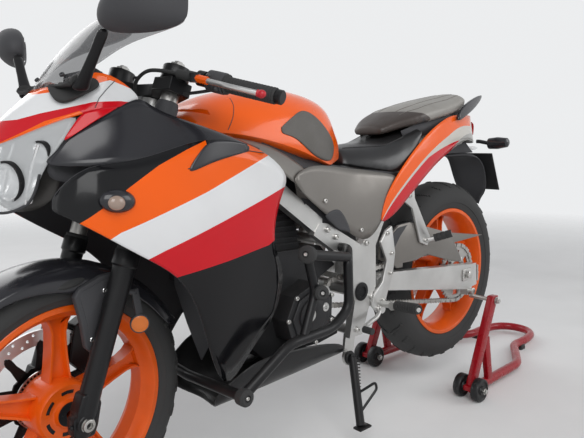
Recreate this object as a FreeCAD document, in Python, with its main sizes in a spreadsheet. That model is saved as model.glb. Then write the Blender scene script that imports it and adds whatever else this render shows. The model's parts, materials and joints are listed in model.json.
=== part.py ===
import FreeCAD
import Part
import math
import os
import Sketcher

# A 250-class sport motorcycle held on a rear paddock stand.
# Lengths are millimetres. x runs back from the front axle, y to the rider's right and z up from
# the floor; frame_shift then puts the origin on the floor under the middle of the whole length.

SIZES = {
    "frame_shift": 885.0,
    "wheelbase": 1370.0,
    "rear_axle_height": 390.0,
    "rake": 18.5,
    "steer_left": 7.0,
    "fork_offset": 36.5,
    "fender_gap": 16.0,
    "fork_spacing": 196.0,
    "fork_tube_diameter": 37.0,
    "slider_diameter": 50.0,
    "slider_length": 345.0,
    "lower_yoke_height": 700.0,
    "top_yoke_height": 925.0,
    "yoke_thickness": 28.0,
    "stem_diameter": 30.0,
    "stem_bore_diameter": 17.0,
    "stem_bore_depth": 60.0,
    "axle_bore_diameter": 9.0,
    "bar_diameter": 22.0,
    "head_tube_diameter": 62.0,
    "axle_diameter": 15.0,
    "bore_clearance": 0.4,
    "hub_sides": 20.0,
    "running_clearance": 0.05,
    "seat_gap": 0.3,
    "front_tyre_radius": 293.0,
    "front_tyre_width": 110.0,
    "rear_tyre_radius": 314.0,
    "rear_tyre_width": 140.0,
    "bead_radius": 218.0,
    "barrel_depth": 24.0,
    "front_rim_width": 86.0,
    "rear_rim_width": 114.0,
    "hub_radius": 82.0,
    "hub_width": 72.0,
    "bearing_boss_width": 104.0,
    "bearing_boss_radius": 36.0,
    "wheel_sides": 56.0,
    "spoke_count": 5.0,
    "spoke_root_width": 46.0,
    "spoke_tip_width": 30.0,
    "spoke_depth": 34.0,
    "channel_width": 16.0,
    "channel_depth": 9.0,
    "front_disc_radius": 148.0,
    "rear_disc_radius": 110.0,
    "disc_thickness": 5.0,
    "disc_offset": 62.0,
    "disc_band": 32.0,
    "chain_line": 86.0,
    "chain_width": 14.0,
    "chain_depth": 14.0,
    "chain_pitch": 15.875,
    "front_sprocket_radius": 36.0,
    "rear_sprocket_radius": 96.0,
    "sprocket_thickness": 6.0,
    "sprocket_teeth": 38.0,
    "sprocket_clearance": 0.8,
    "front_sprocket_x": 745.0,
    "front_sprocket_height": 424.0,
    "pivot_x": 808.0,
    "pivot_height": 424.0,
    "pivot_tube_diameter": 40.0,
    "frame_half_width": 134.0,
    "pivot_plate_thickness": 22.0,
    "swingarm_half_width": 128.0,
    "swingarm_wall": 28.0,
    "panel_thickness": 3.0,
    "screen_thickness": 3.5,
    "crash_tube_diameter": 25.0,
    "stand_tube_diameter": 32.0,
    "stand_half_width": 216.0,
    "upright_width": 34.0,
    "roller_radius": 38.0,
    "roller_width": 26.0,
    "roller_x": 1275.0,
    "roller_spread": 64.0,
    "lift_pin_diameter": 14.0,
    "side_stand_diameter": 24.0,
    "side_stand_pin_diameter": 12.0,
}


def number(value):
    """Return the plain number of a Size or of a number."""
    return value.value if isinstance(value, Size) else float(value)


def text(value):
    """Return the spreadsheet expression of a Size or of a number."""
    return value.text if isinstance(value, Size) else f"({float(value):.6f})"


class Size:
    """A number together with the spreadsheet expression that gives it."""

    def __init__(self, value, expression):
        self.value = float(value)
        self.text = expression

    def __add__(self, other):
        return Size(self.value + number(other), f"({self.text} + {text(other)})")

    def __radd__(self, other):
        return Size(number(other) + self.value, f"({text(other)} + {self.text})")

    def __sub__(self, other):
        return Size(self.value - number(other), f"({self.text} - {text(other)})")

    def __rsub__(self, other):
        return Size(number(other) - self.value, f"({text(other)} - {self.text})")

    def __mul__(self, other):
        return Size(self.value * number(other), f"({self.text} * {text(other)})")

    def __rmul__(self, other):
        return Size(number(other) * self.value, f"({text(other)} * {self.text})")

    def __truediv__(self, other):
        return Size(self.value / number(other), f"({self.text} / {text(other)})")

    def __neg__(self):
        return Size(-self.value, f"(-{self.text})")


def sine(angle):
    return Size(math.sin(math.radians(number(angle))), f"sin({text(angle)} * 1 deg)")


def cosine(angle):
    return Size(math.cos(math.radians(number(angle))), f"cos({text(angle)} * 1 deg)")


class Sheet:
    """The spreadsheet of driving sizes, read as attributes."""

    def __init__(self, document, sizes):
        self.sheet = document.addObject("Spreadsheet::Sheet", "Dims")
        for row, (alias, value) in enumerate(sizes.items(), start=1):
            self.sheet.set(f"A{row}", alias)
            self.sheet.set(f"B{row}", str(value))
            self.sheet.setAlias(f"B{row}", alias)
        document.recompute()

    def __getattr__(self, alias):
        return Size(getattr(self.sheet, alias), f"Dims.{alias}")


DOC = FreeCAD.newDocument("motorcycle")
D = Sheet(DOC, SIZES)
NODES = []


def bind(item, name, value):
    """Set a property and tie it to the spreadsheet where the value is a Size."""
    if isinstance(value, Size):
        item.setExpression(name, value.text)
    else:
        setattr(item, name, value)


def vec(x, y, z):
    return FreeCAD.Vector(number(x), number(y), number(z))


def steer_point(x, y, z):
    """Return where a point of the straight fork comes to rest with the bars turned."""
    sa, ca = sine(D.rake), cosine(D.rake)
    turn, still = sine(D.steer_left), cosine(D.steer_left)
    px = x - AXIS_FOOT
    along = px * sa + z * ca
    rest = 1 - still
    return (
        AXIS_FOOT + px * still - ca * y * turn + sa * along * rest,
        y * still + (ca * px - sa * z) * turn,
        z * still + sa * y * turn + ca * along * rest,
    )


def keep(item, label, at=(0, 0, 0), steered=False):
    """Name a finished sub-part and place it in the shared frame."""
    x, y, z = steer_point(*at) if steered else at
    item.Label = label
    rotation = FreeCAD.Rotation()
    if steered:
        axis = vec(sine(D.rake), 0, cosine(D.rake))
        rotation = FreeCAD.Rotation(axis, number(D.steer_left))
    item.Placement = FreeCAD.Placement(vec(x - D.frame_shift, y, z), rotation)
    item.setExpression("Placement.Base.x", text(x - D.frame_shift))
    item.setExpression("Placement.Base.y", text(y))
    item.setExpression("Placement.Base.z", text(z))
    if steered:
        item.setExpression("Placement.Rotation.Angle", text(D.steer_left))
    NODES.append(item)
    return item


class Piece:
    """A PartDesign body built up from sketches on its origin planes."""

    def __init__(self, name):
        self.body = DOC.addObject("PartDesign::Body", name)
        self.body.AllowCompound = True

    def sketch(self, plane, points, offset, circles=()):
        """Draw one closed outline and round holes on a plane moved along its normal."""
        sketch = self.body.newObject("Sketcher::SketchObject", "sketch")
        origin = [f for f in self.body.Origin.OriginFeatures if f.Role == f"{plane}_Plane"]
        sketch.AttachmentSupport = [(origin[0], "")]
        sketch.MapMode = "FlatFace"
        bind(sketch, "AttachmentOffset.Base.z", offset if isinstance(offset, Size) else Size(offset, text(offset)))
        flat = [FreeCAD.Vector(number(u), number(v), 0) for u, v in points]
        count = len(flat)
        for start, end in zip(flat, flat[1:] + flat[:1]):
            sketch.addGeometry(Part.LineSegment(start, end))
        for index in range(count):
            sketch.addConstraint(Sketcher.Constraint("Coincident", index, 2, (index + 1) % count, 1))
        for index, (u, v) in enumerate(points):
            self.pin(sketch, index, 1, u, v)
        for u, v, radius in circles:
            centre = FreeCAD.Vector(number(u), number(v), 0)
            circle = Part.Circle(centre, FreeCAD.Vector(0, 0, 1), number(radius))
            index = sketch.addGeometry(circle)
            self.pin(sketch, index, 3, u, v)
            row = sketch.addConstraint(Sketcher.Constraint("Radius", index, number(radius)))
            if isinstance(radius, Size):
                sketch.setExpression(f"Constraints[{row}]", radius.text)
        return sketch

    @staticmethod
    def pin(sketch, index, end, u, v):
        """Hold one point of a sketch at its distances from the origin."""
        for kind, value, axis in (("DistanceX", u, -2), ("DistanceY", v, -1)):
            if abs(number(value)) < 1e-9:
                sketch.addConstraint(Sketcher.Constraint("PointOnObject", index, end, axis))
                continue
            row = sketch.addConstraint(Sketcher.Constraint(kind, -1, 1, index, end, number(value)))
            if isinstance(value, Size):
                sketch.setExpression(f"Constraints[{row}]", value.text)

    def pad(self, plane, points, low, high, circles=()):
        """Add a prism between two positions along the normal of a plane."""
        start = -high if plane == "XZ" else low
        pad = self.body.newObject("PartDesign::Pad", "pad")
        pad.Profile = self.sketch(plane, points, start, circles)
        bind(pad, "Length", high - low)
        return pad

    def pocket(self, plane, points, low, high, circles=()):
        """Cut a prism between two positions along the normal of a plane."""
        start = -low if plane == "XZ" else high
        pocket = self.body.newObject("PartDesign::Pocket", "pocket")
        pocket.Profile = self.sketch(plane, points, start, circles)
        bind(pocket, "Length", high - low)
        return pocket

    def repeat(self, features, count):
        """Repeat features evenly about y."""
        pattern = self.body.newObject("PartDesign::PolarPattern", "pattern")
        pattern.Originals = features
        pattern.Axis = (features[0].Profile[0], ["N_Axis"])
        pattern.Angle = 360
        bind(pattern, "Occurrences", count)
        self.body.Tip = pattern
        return pattern


def rod(start, end, radius, sides=10):
    """Make a bar of many flats between two points."""
    first, last = vec(*start), vec(*end)
    bar = DOC.addObject("Part::Prism", "bar")
    bar.Polygon = int(number(sides))
    bind(bar, "Circumradius", radius)
    bar.Height = (last - first).Length
    turn = FreeCAD.Rotation(FreeCAD.Vector(0, 0, 1), last - first)
    bar.Placement = FreeCAD.Placement(first, turn)
    return bar


def shaft(start, end, radius):
    """Make a round bar between two points."""
    first, last = vec(*start), vec(*end)
    bar = DOC.addObject("Part::Cylinder", "shaft")
    bind(bar, "Radius", radius)
    bar.Height = (last - first).Length
    bar.Placement = FreeCAD.Placement(first, FreeCAD.Rotation(FreeCAD.Vector(0, 0, 1), last - first))
    return bar


def block(low, high):
    """Make a box between two corners."""
    box = DOC.addObject("Part::Box", "block")
    for name, a, b in zip(("Length", "Width", "Height"), low, high):
        bind(box, name, b - a)
    box.Placement.Base = vec(*low)
    return box


def place(item, base):
    """Stand an item, drawn at the origin, square to the steering axis at a point of it."""
    tilt = FreeCAD.Rotation(FreeCAD.Vector(0, 1, 0), number(D.rake))
    item.Placement = FreeCAD.Placement(vec(*base), tilt)


def union(items):
    joined = DOC.addObject("Part::MultiFuse", "union")
    joined.Shapes = items
    return joined


def minus(base, tool):
    cut = DOC.addObject("Part::Cut", "cut")
    cut.Base = base
    cut.Tool = tool
    return cut


def feature(shape, name="shape"):
    item = DOC.addObject("Part::Feature", name)
    item.Shape = shape
    return item


def prism(plane, points, low, high, circles=()):
    piece = Piece("prism")
    piece.pad(plane, points, low, high, circles)
    return piece.body


def mirrored(points):
    return [(x, -y, z) for x, y, z in points]


def bend(start, corner, end, radius, steps=3):
    """Return points that round a corner of a tube in short straight lengths."""
    first, middle, last = vec(*start), vec(*corner), vec(*end)
    back, forth = (first - middle).normalize(), (last - middle).normalize()
    half = back.getAngle(forth) / 2
    reach = radius / math.tan(half)
    centre = middle + (back + forth).normalize() * (radius / math.sin(half))
    a, b = middle + back * reach - centre, middle + forth * reach - centre
    sweep = a.getAngle(b)
    points = []
    for index in range(steps + 1):
        share = index / steps
        ahead = math.sin((1 - share) * sweep) / math.sin(sweep)
        behind = math.sin(share * sweep) / math.sin(sweep)
        points.append(centre + a * ahead + b * behind)
    return points


def tube(points, radius, bend_radius=0.0, steps=2, sides=8):
    """Return a many-sided tube along a polyline, its corners rounded by short lengths."""
    path = [vec(*points[0])]
    for before, corner, after in zip(points, points[1:], points[2:]):
        if bend_radius:
            path += bend(before, corner, after, number(bend_radius), steps)
        else:
            path.append(vec(*corner))
    path.append(vec(*points[-1]))
    ways = [(after - before).normalize() for before, after in zip(path, path[1:])]
    rings = [[FreeCAD.Vector(*point) for point in ring_points(path[0], radius, sides, ways[0], 180 / sides)]]
    for index, (corner, way) in enumerate(zip(path[1:], ways)):
        after = ways[min(index + 1, len(ways) - 1)]
        cut = (way + after).normalize()
        ring = [point + way * ((corner - point).dot(cut) / way.dot(cut)) for point in rings[-1]]
        rings.append(ring)
    return loft(rings)


def faceted(patches):
    """Sew flat patches into a closed solid."""
    faces = [Part.Face(Part.makePolygon([*patch, patch[0]])) for patch in patches]
    solid = Part.Solid(Part.Shell(faces))
    if solid.Volume < 0:
        solid.reverse()
    return solid


def flat(points):
    """Tell whether points lie in one plane."""
    normal = (points[1] - points[0]).cross(points[2] - points[0])
    if normal.Length < 1e-9:
        return False
    normal.normalize()
    return all(abs((point - points[0]).dot(normal)) < 1e-6 for point in points)


def quad(a, b, c, d):
    """Keep a flat four-sided patch whole, or split it along its shorter diagonal."""
    if flat((a, b, c, d)):
        return [(a, b, c, d)]
    if (a - c).Length <= (b - d).Length:
        return [(a, b, c), (a, c, d)]
    return [(a, b, d), (b, c, d)]


def loft(rings):
    """Return the faceted solid between closed rings with as many points each."""
    rings = [[vec(*point) for point in ring] for ring in rings]
    triangles = []
    for first, last in zip(rings, rings[1:]):
        for index in range(len(first)):
            after = (index + 1) % len(first)
            triangles += quad(first[index], first[after], last[after], last[index])
    for ring, flip in ((rings[0], True), (rings[-1], False)):
        if flat(ring):
            triangles.append(tuple(reversed(ring)) if flip else tuple(ring))
            continue
        centre = sum(ring, FreeCAD.Vector()) * (1 / len(ring))
        for index, point in enumerate(ring):
            edge = (point, ring[(index + 1) % len(ring)])
            triangles.append((centre, edge[1], edge[0]) if flip else (centre, *edge))
    return faceted(triangles)


def spin(profile, sides, centre=0.0):
    """Turn a closed profile of (y, radius) points about y in flats."""
    count = int(number(sides))
    loops = []
    for index in range(count):
        angle = 2 * math.pi * index / count
        ahead, up = math.sin(angle), math.cos(angle)
        loops.append([vec(number(r) * ahead, number(y) + number(centre), number(r) * up) for y, r in profile])
    patches = []
    for first, last in zip(loops, loops[1:] + loops[:1]):
        for index in range(len(profile)):
            after = (index + 1) % len(profile)
            patches.append((first[index], first[after], last[after], last[index]))
    return faceted(patches)


def shell(rows, thickness, inside):
    """Return a thin panel whose outer face passes through a grid of points.

    The panel grows from that face by its thickness towards the direction given as inside.
    """
    outer = [[vec(*point) for point in row] for row in rows]
    tall, wide = len(outer), len(outer[0])
    spots = [(i, j) for i in range(tall) for j in range(wide)]
    normals = {spot: FreeCAD.Vector() for spot in spots}
    cells = []
    for i in range(tall - 1):
        for j in range(wide - 1):
            corners = [(i, j), (i, j + 1), (i + 1, j + 1), (i + 1, j)]
            a, b, c, d = (outer[p][q] for p, q in corners)
            shorter = (a - c).Length <= (b - d).Length
            split = ((0, 1, 2), (0, 2, 3)) if shorter else ((0, 1, 3), (1, 2, 3))
            for trio in split:
                cell = [corners[k] for k in trio]
                p, q, r = (outer[u][v] for u, v in cell)
                normal = (q - p).cross(r - p)
                for spot in cell:
                    normals[spot] += normal
                cells.append(cell)
    total = sum(normals.values(), FreeCAD.Vector())
    side = 1 if total.dot(vec(*inside)) > 0 else -1
    step = side * number(thickness)
    inner = [list(row) for row in outer]
    for i, j in spots:
        inner[i][j] = outer[i][j] + normals[(i, j)].normalize() * step
    triangles = [tuple(outer[i][j] for i, j in cell) for cell in cells]
    triangles += [tuple(inner[i][j] for i, j in reversed(cell)) for cell in cells]
    loop = [(0, j) for j in range(wide)] + [(i, wide - 1) for i in range(1, tall)]
    loop += [(tall - 1, j) for j in range(wide - 2, -1, -1)]
    loop += [(i, 0) for i in range(tall - 2, 0, -1)]
    for here, there in zip(loop, loop[1:] + loop[:1]):
        a, b = outer[here[0]][here[1]], outer[there[0]][there[1]]
        c, d = inner[there[0]][there[1]], inner[here[0]][here[1]]
        triangles += [(b, a, d), (b, d, c)]
    return faceted(triangles)


def ring_points(centre, radius, count, normal, first=0.0):
    """Return points evenly round a circle."""
    turn = FreeCAD.Rotation(FreeCAD.Vector(0, 0, 1), vec(*normal))
    middle = vec(*centre)
    points = []
    for index in range(count):
        angle = math.radians(first + 360.0 * index / count)
        spoke = FreeCAD.Vector(math.cos(angle), math.sin(angle), 0) * number(radius)
        points.append(tuple(middle + turn.multVec(spoke)))
    return points


# The turned wheel leans a little, so its axle sits higher than its radius by the tread's dip.
FRONT_AXLE = D.front_tyre_radius + D.front_tyre_width * sine(D.rake) * sine(D.steer_left) * 0.2
AXIS_FOOT = D.fork_offset / cosine(D.rake) - FRONT_AXLE * sine(D.rake) / cosine(D.rake)
LEAN = sine(D.rake) / cosine(D.rake)


def axis_at(height):
    """Return x of the steering axis at a height."""
    return AXIS_FOOT + height * LEAN


def leg_at(height):
    """Return x of a fork leg's centre line at a height."""
    return (height - FRONT_AXLE) * LEAN


def on_axis(height, rise):
    """Return the point on the steering axis a distance up it from a height."""
    return axis_at(height) + rise * sine(D.rake), 0, height + rise * cosine(D.rake)


def on_leg(height, rise, side):
    """Return the point on a fork leg level, across the axis, with a point on the axis."""
    x, _, z = on_axis(height, rise)
    y = D.fork_spacing / 2 * side
    return x - D.fork_offset * cosine(D.rake), y, z + D.fork_offset * sine(D.rake)


# Wheels


def tyre(name, radius, width, rim_width):
    """Revolve a tyre that fills the rim from bead to bead."""
    half, bead = width / 2, D.bead_radius + D.seat_gap
    height = radius - D.bead_radius
    foot = rim_width / 2 - 3
    profile = [
        (-foot, bead), (foot, bead), (half, bead + height * 0.36),
        (half * 0.82, bead + height * 0.72), (half * 0.4, radius),
        (-half * 0.4, radius), (-half * 0.82, bead + height * 0.72), (-half, bead + height * 0.36),
    ]
    return feature(spin(profile, D.wheel_sides), name)


def rim(rim_width, hub_width, left_boss):
    """Build a cast wheel: hub, five channelled spokes and a dropped barrel."""
    half, seat = rim_width / 2, D.bead_radius
    inner = seat - D.barrel_depth
    bore = D.axle_diameter / 2 + D.bore_clearance
    right_boss, drum = D.disc_offset - D.seat_gap, hub_width / 2
    thick = D.bearing_boss_radius
    hub = feature(spin([
        (-left_boss, bore), (right_boss, bore), (right_boss, thick), (drum - 8, thick),
        (drum, D.hub_radius), (-drum, D.hub_radius), (8 - drum, thick), (-left_boss, thick),
    ], D.hub_sides))
    piece = Piece("spokes")
    root, tip, deep = D.spoke_root_width / 2, D.spoke_tip_width / 2, D.spoke_depth / 2
    start, end = D.hub_radius - 8, inner + 6
    arm = piece.pad("XZ", [(-root, start), (root, start), (tip, end), (-tip, end)], -deep, deep)
    wide = D.channel_width / 2
    hollow = [(-wide, start + 22), (wide, start + 22), (wide * 0.7, end - 18), (-wide * 0.7, end - 18)]
    cut = piece.pocket("XZ", hollow, -deep, D.channel_depth - deep)
    piece.repeat([arm, cut], D.spoke_count)
    barrel = feature(spin([
        (-half, seat - 9), (-half, seat), (half, seat), (half, seat - 9),
        (half * 0.42, inner), (-half * 0.42, inner),
    ], D.wheel_sides))
    return union([barrel, hub, piece.body])


def disc(name, radius, side):
    """Cut a brake disc with its five-window carrier from one plate."""
    low = D.disc_offset if side > 0 else -D.disc_offset - D.disc_thickness
    piece = Piece(name)
    edge, hub = radius - D.disc_band, 62
    points = ring_disc(radius, 48)
    blank = piece.pad("XZ", points, low, low + D.disc_thickness, [(0, 0, 31)])
    window = [(-0.2 * edge, hub), (0.2 * edge, hub), (0.5 * edge, edge * 0.86), (-0.5 * edge, edge * 0.86)]
    hole = piece.pocket("XZ", window, low - 1, low + D.disc_thickness + 1)
    piece.repeat([hole], D.spoke_count)
    return piece.body


def ring_disc(radius, count):
    """Return a many-sided outline of a round plate."""
    outline = []
    for index in range(count):
        angle = 360.0 * index / count
        outline.append((radius * cosine(angle), radius * sine(angle)))
    return outline


keep(tyre("front_tyre", D.front_tyre_radius, D.front_tyre_width, D.front_rim_width),
     "front_tyre", (0, 0, FRONT_AXLE), True)
keep(rim(D.front_rim_width, D.hub_width, D.bearing_boss_width / 2),
     "front_rim", (0, 0, FRONT_AXLE), True)
keep(disc("front_disc", D.front_disc_radius, 1),
     "front_disc", (0, 0, FRONT_AXLE), True)
REAR_AXLE = (D.wheelbase, 0, D.rear_axle_height)
keep(tyre("rear_tyre", D.rear_tyre_radius, D.rear_tyre_width, D.rear_rim_width),
     "rear_tyre", REAR_AXLE)
sprocket_face = D.chain_line - D.sprocket_thickness / 2 - D.seat_gap
keep(rim(D.rear_rim_width, D.hub_width, sprocket_face), "rear_rim", REAR_AXLE)
keep(disc("rear_disc", D.rear_disc_radius, 1), "rear_disc", REAR_AXLE)


# Chain and sprocket


def sprocket():
    """Pad a toothed plate that turns just inside the chain loop."""
    crown = D.rear_sprocket_radius - D.chain_depth / 2 - D.sprocket_clearance
    teeth = int(number(D.sprocket_teeth))
    outline = []
    for index in range(teeth):
        for share, radius in ((0.0, crown), (0.5, crown - 6)):
            angle = 360.0 * (index + share) / teeth
            outline.append((radius * cosine(angle), radius * sine(angle)))
    low = -D.chain_line - D.sprocket_thickness / 2
    piece = Piece("rear_sprocket")
    piece.pad("XZ", outline, low, low + D.sprocket_thickness, [(0, 0, 30)])
    window = [(-14, 42), (14, 42), (20, 66), (-20, 66)]
    hole = piece.pocket("XZ", window, low - 1, low + D.sprocket_thickness + 1)
    piece.repeat([hole], D.spoke_count)
    return piece.body


def chain_loop():
    """Return a chain as one band round both sprockets, waisted between its rollers."""
    small, large = number(D.front_sprocket_radius), number(D.rear_sprocket_radius)
    front = FreeCAD.Vector(number(D.front_sprocket_x), number(D.front_sprocket_height))
    rear = FreeCAD.Vector(number(D.wheelbase), number(D.rear_axle_height))
    span = rear - front
    slope = math.atan2(span.y, span.x)
    lean = math.acos((large - small) / span.Length)
    wrap = math.pi - lean
    run = span.Length * math.sin(lean)
    length = 2 * run + 2 * lean * small + 2 * wrap * large
    links = 2 * round(length / number(D.chain_pitch) / 2)
    edges = ([], [])
    for index in range(links):
        way = index * length / links
        if way < run:
            angle = slope + math.pi - lean
            centre, normal = front, FreeCAD.Vector(math.cos(angle), math.sin(angle))
            point = front + normal * small + (rear - front + normal * (large - small)) * (way / run)
        elif way < run + 2 * wrap * large:
            angle = slope + math.pi - lean - (way - run) / large
            normal = FreeCAD.Vector(math.cos(angle), math.sin(angle))
            point = rear + normal * large
        elif way < 2 * run + 2 * wrap * large:
            angle = slope + math.pi + lean
            normal = FreeCAD.Vector(math.cos(angle), math.sin(angle))
            share = (way - run - 2 * wrap * large) / run
            point = rear + normal * large + (front - rear + normal * (small - large)) * share
        else:
            rest = way - 2 * run - 2 * wrap * large
            angle = slope + math.pi + lean - rest / small
            normal = FreeCAD.Vector(math.cos(angle), math.sin(angle))
            point = front + normal * small
        half = number(D.chain_depth) / 2 - (1.4 if index % 2 else 0.0)
        edges[0].append(point + normal * half)
        edges[1].append(point - normal * (half if index % 2 else half))
    low = -number(D.chain_line) - number(D.chain_width) / 2
    plates = []
    for edge in edges:
        loop = [FreeCAD.Vector(point.x, low, point.y) for point in edge]
        plates.append(Part.Face(Part.makePolygon(loop + loop[:1])))
    return plates[0].cut(plates[1]).extrude(vec(0, D.chain_width, 0))


keep(sprocket(), "rear_sprocket", REAR_AXLE)
keep(feature(chain_loop()), "chain")


# Front fork and steering


def fork():
    """Join the two legs, the axle lugs and the axle."""
    axle = FRONT_AXLE
    items = []
    for side in (-1, 1):
        y = D.fork_spacing / 2 * side
        shoulder = axle + D.slider_length * cosine(D.rake)
        foot = axle - 22
        items.append(rod((leg_at(foot), y, foot), (leg_at(shoulder), y, shoulder), D.slider_diameter / 2))
        top = D.top_yoke_height + 42
        items.append(rod((leg_at(shoulder - 5), y, shoulder - 5), (leg_at(top), y, top), D.fork_tube_diameter / 2))
        lug = [(-24, axle - 26), (20, axle - 30), (32, axle + 30), (-14, axle + 34)]
        items.append(prism("XZ", lug, y - 17, y + 17))
    lug = [(20, axle + 50), (96, axle + 70), (112, axle + 120), (48, axle + 132)]
    outer = D.disc_offset + D.disc_thickness + 22 + D.seat_gap
    items.append(prism("XZ", lug, outer, outer + 10))
    reach = D.fork_spacing / 2 + 26
    items.append(shaft((0, -reach, axle), (0, reach, axle), D.axle_diameter / 2))
    return minus(union(items), shaft((0, -reach - 5, axle), (0, reach + 5, axle), D.axle_bore_diameter / 2))


def yokes():
    """Clamp both legs and carry the stem, square to the steering axis."""
    items = []
    side, ahead = D.fork_spacing / 2, D.fork_offset
    outline = [
        (30, -26), (24 - ahead, -side - 32), (-28 - ahead, -side - 28), (-30 - ahead, -side + 26),
        (-34, -30), (-34, 30), (-30 - ahead, side - 26), (-28 - ahead, side + 28),
        (24 - ahead, side + 32), (30, 26),
    ]
    for height in (D.lower_yoke_height, D.top_yoke_height):
        plate = prism("XY", outline, 0, D.yoke_thickness)
        place(plate, on_axis(height, 0))
        items.append(plate)
    top = D.yoke_thickness + 8
    items.append(rod(on_axis(D.lower_yoke_height, 0), on_axis(D.top_yoke_height, top), D.stem_diameter / 2))
    bore = shaft(on_axis(D.top_yoke_height, top - D.stem_bore_depth), on_axis(D.top_yoke_height, top + 20),
                 D.stem_bore_diameter / 2)
    solid = minus(union(items), bore)
    for sign in (-1, 1):
        bore = rod(on_leg(D.lower_yoke_height, -60, sign), on_leg(D.top_yoke_height, 90, sign),
                   D.fork_tube_diameter / 2 + D.running_clearance)
        solid = minus(solid, bore)
    return solid


def bar_ends(side):
    """Return the inner and outer ends of a clip-on bar."""
    x, y, z = on_leg(D.top_yoke_height, D.yoke_thickness + 16, side)
    return (x + 8, y + 20 * side, z), (x + 62, y + 240 * side, z - 46)


def handlebars():
    """Join each clip-on clamp, bar, grip and switch housing."""
    items = []
    for side in (-1, 1):
        low, high = D.yoke_thickness + D.seat_gap, D.yoke_thickness + 30
        clamp = rod(on_leg(D.top_yoke_height, low, side), on_leg(D.top_yoke_height, high, side), 30)
        bore = rod(on_leg(D.top_yoke_height, low - 20, side), on_leg(D.top_yoke_height, high + 20, side),
                   D.fork_tube_diameter / 2 + D.running_clearance)
        inner, outer = bar_ends(side)
        first, last = vec(*inner), vec(*outer)
        way = last - first
        parts = [
            rod(first, last, D.bar_diameter / 2),
            rod(first + way * 0.47, first + way * 0.95, 17),
            rod(first + way * 0.26, first + way * 0.44, 24),
            rod(first + way * 0.96, last + way * 0.03, 15),
        ]
        items.append(union([minus(clamp, bore)] + parts))
    return union(items)


def levers():
    """Make each lever with its perch and the brake's fluid cup."""
    shapes = []
    for side in (-1, 1):
        inner, outer = (vec(*end) for end in bar_ends(side))
        way = outer - inner
        ahead = way.cross(FreeCAD.Vector(0, 0, -side)).normalize()
        root = inner + way * 0.20
        perch = tube([root + ahead * 11.3, root + ahead * 46], 12)
        blade = tube([root + ahead * 40, inner + way * 0.62 + ahead * 64, inner + way * 0.93 + ahead * 52], 7)
        shape = perch.fuse(blade)
        if side > 0:
            cup = tube([root + ahead * 40, root + ahead * 38 + FreeCAD.Vector(0, 0, 19)], 16)
            shape = shape.fuse(cup)
        shapes.append(shape)
    return Part.makeCompound(shapes)


def fender():
    """Bend the front mudguard over the tyre, with a plate grooved round each fork leg."""
    radius = D.front_tyre_radius + D.fender_gap
    rows = []
    # angle forward of the top, half width, drop of the side edge
    for angle, half, drop in ((54, 30, 12), (40, 58, 26), (27, 66, 20), (9, 70, 52), (-4, 72, 62),
                              (-20, 70, 46), (-42, 66, 40), (-63, 58, 38)):
        ahead, up = -math.sin(math.radians(angle)), math.cos(math.radians(angle))
        row = []
        for share, lower in ((-1.0, drop), (-0.9, 10), (-0.5, 0), (0.5, 0), (0.9, 10), (1.0, drop)):
            reach = radius + D.panel_thickness - lower
            row.append((reach * ahead, half * share, reach * up + FRONT_AXLE))
        rows.append(row)
    guard = feature(shell(rows, D.panel_thickness, (0.4, 0, -0.9)))
    z = FRONT_AXLE
    outline = [(-24, z + 262), (2, z + 296), (62, z + 290), (70, z + 250), (56, z + 180), (42, z + 154),
               (22, z + 152), (-4, z + 178)]
    sides = []
    for side in (-1, 1):
        near, far = sorted((D.fork_spacing / 2 * side, 68 * side), key=number)
        sides.append(prism("XZ", outline, near, far))
    solid = union([guard] + sides)
    foot, shoulder = z + 100, z + 360
    for side in (-1, 1):
        y = D.fork_spacing / 2 * side
        groove = rod((leg_at(foot), y, foot), (leg_at(shoulder), y, shoulder),
                     D.slider_diameter / 2 + D.seat_gap + 0.1)
        solid = minus(solid, groove)
    return solid


FORK_AT = (0, 0, 0)
keep(fork(), "fork", FORK_AT, True)
keep(yokes(), "fork_yokes", FORK_AT, True)
keep(handlebars(), "handlebars", FORK_AT, True)
keep(feature(levers()), "hand_levers", FORK_AT, True)
keep(fender(), "front_fender", FORK_AT, True)

axle = FRONT_AXLE
caliper = Piece("front_caliper")
caliper_outline = [(60, axle + 62), (100, axle + 20), (158, axle + 60), (140, axle + 138), (96, axle + 152),
                   (74, axle + 140)]
caliper_low = D.disc_offset - 9
caliper.pad("XZ", caliper_outline, caliper_low, D.disc_offset + D.disc_thickness + 22)
slot = [(30, axle + 6), (152, axle + 20), (143, axle + 62), (120, axle + 98), (80, axle + 130), (30, axle + 140)]
caliper.pocket("XZ", slot, D.disc_offset - 2, D.disc_offset + D.disc_thickness + 2)
keep(caliper.body, "front_caliper", FORK_AT, True)

# Frame


def stand_axis(reach):
    """Return a point on the side stand's pivot line, a distance out from the bracket's middle."""
    return (
        D.pivot_x - 33 + reach * 0.076, -D.frame_half_width + 18 - reach * 0.967,
        D.pivot_height - 188 + reach * 0.242,
    )


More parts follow.
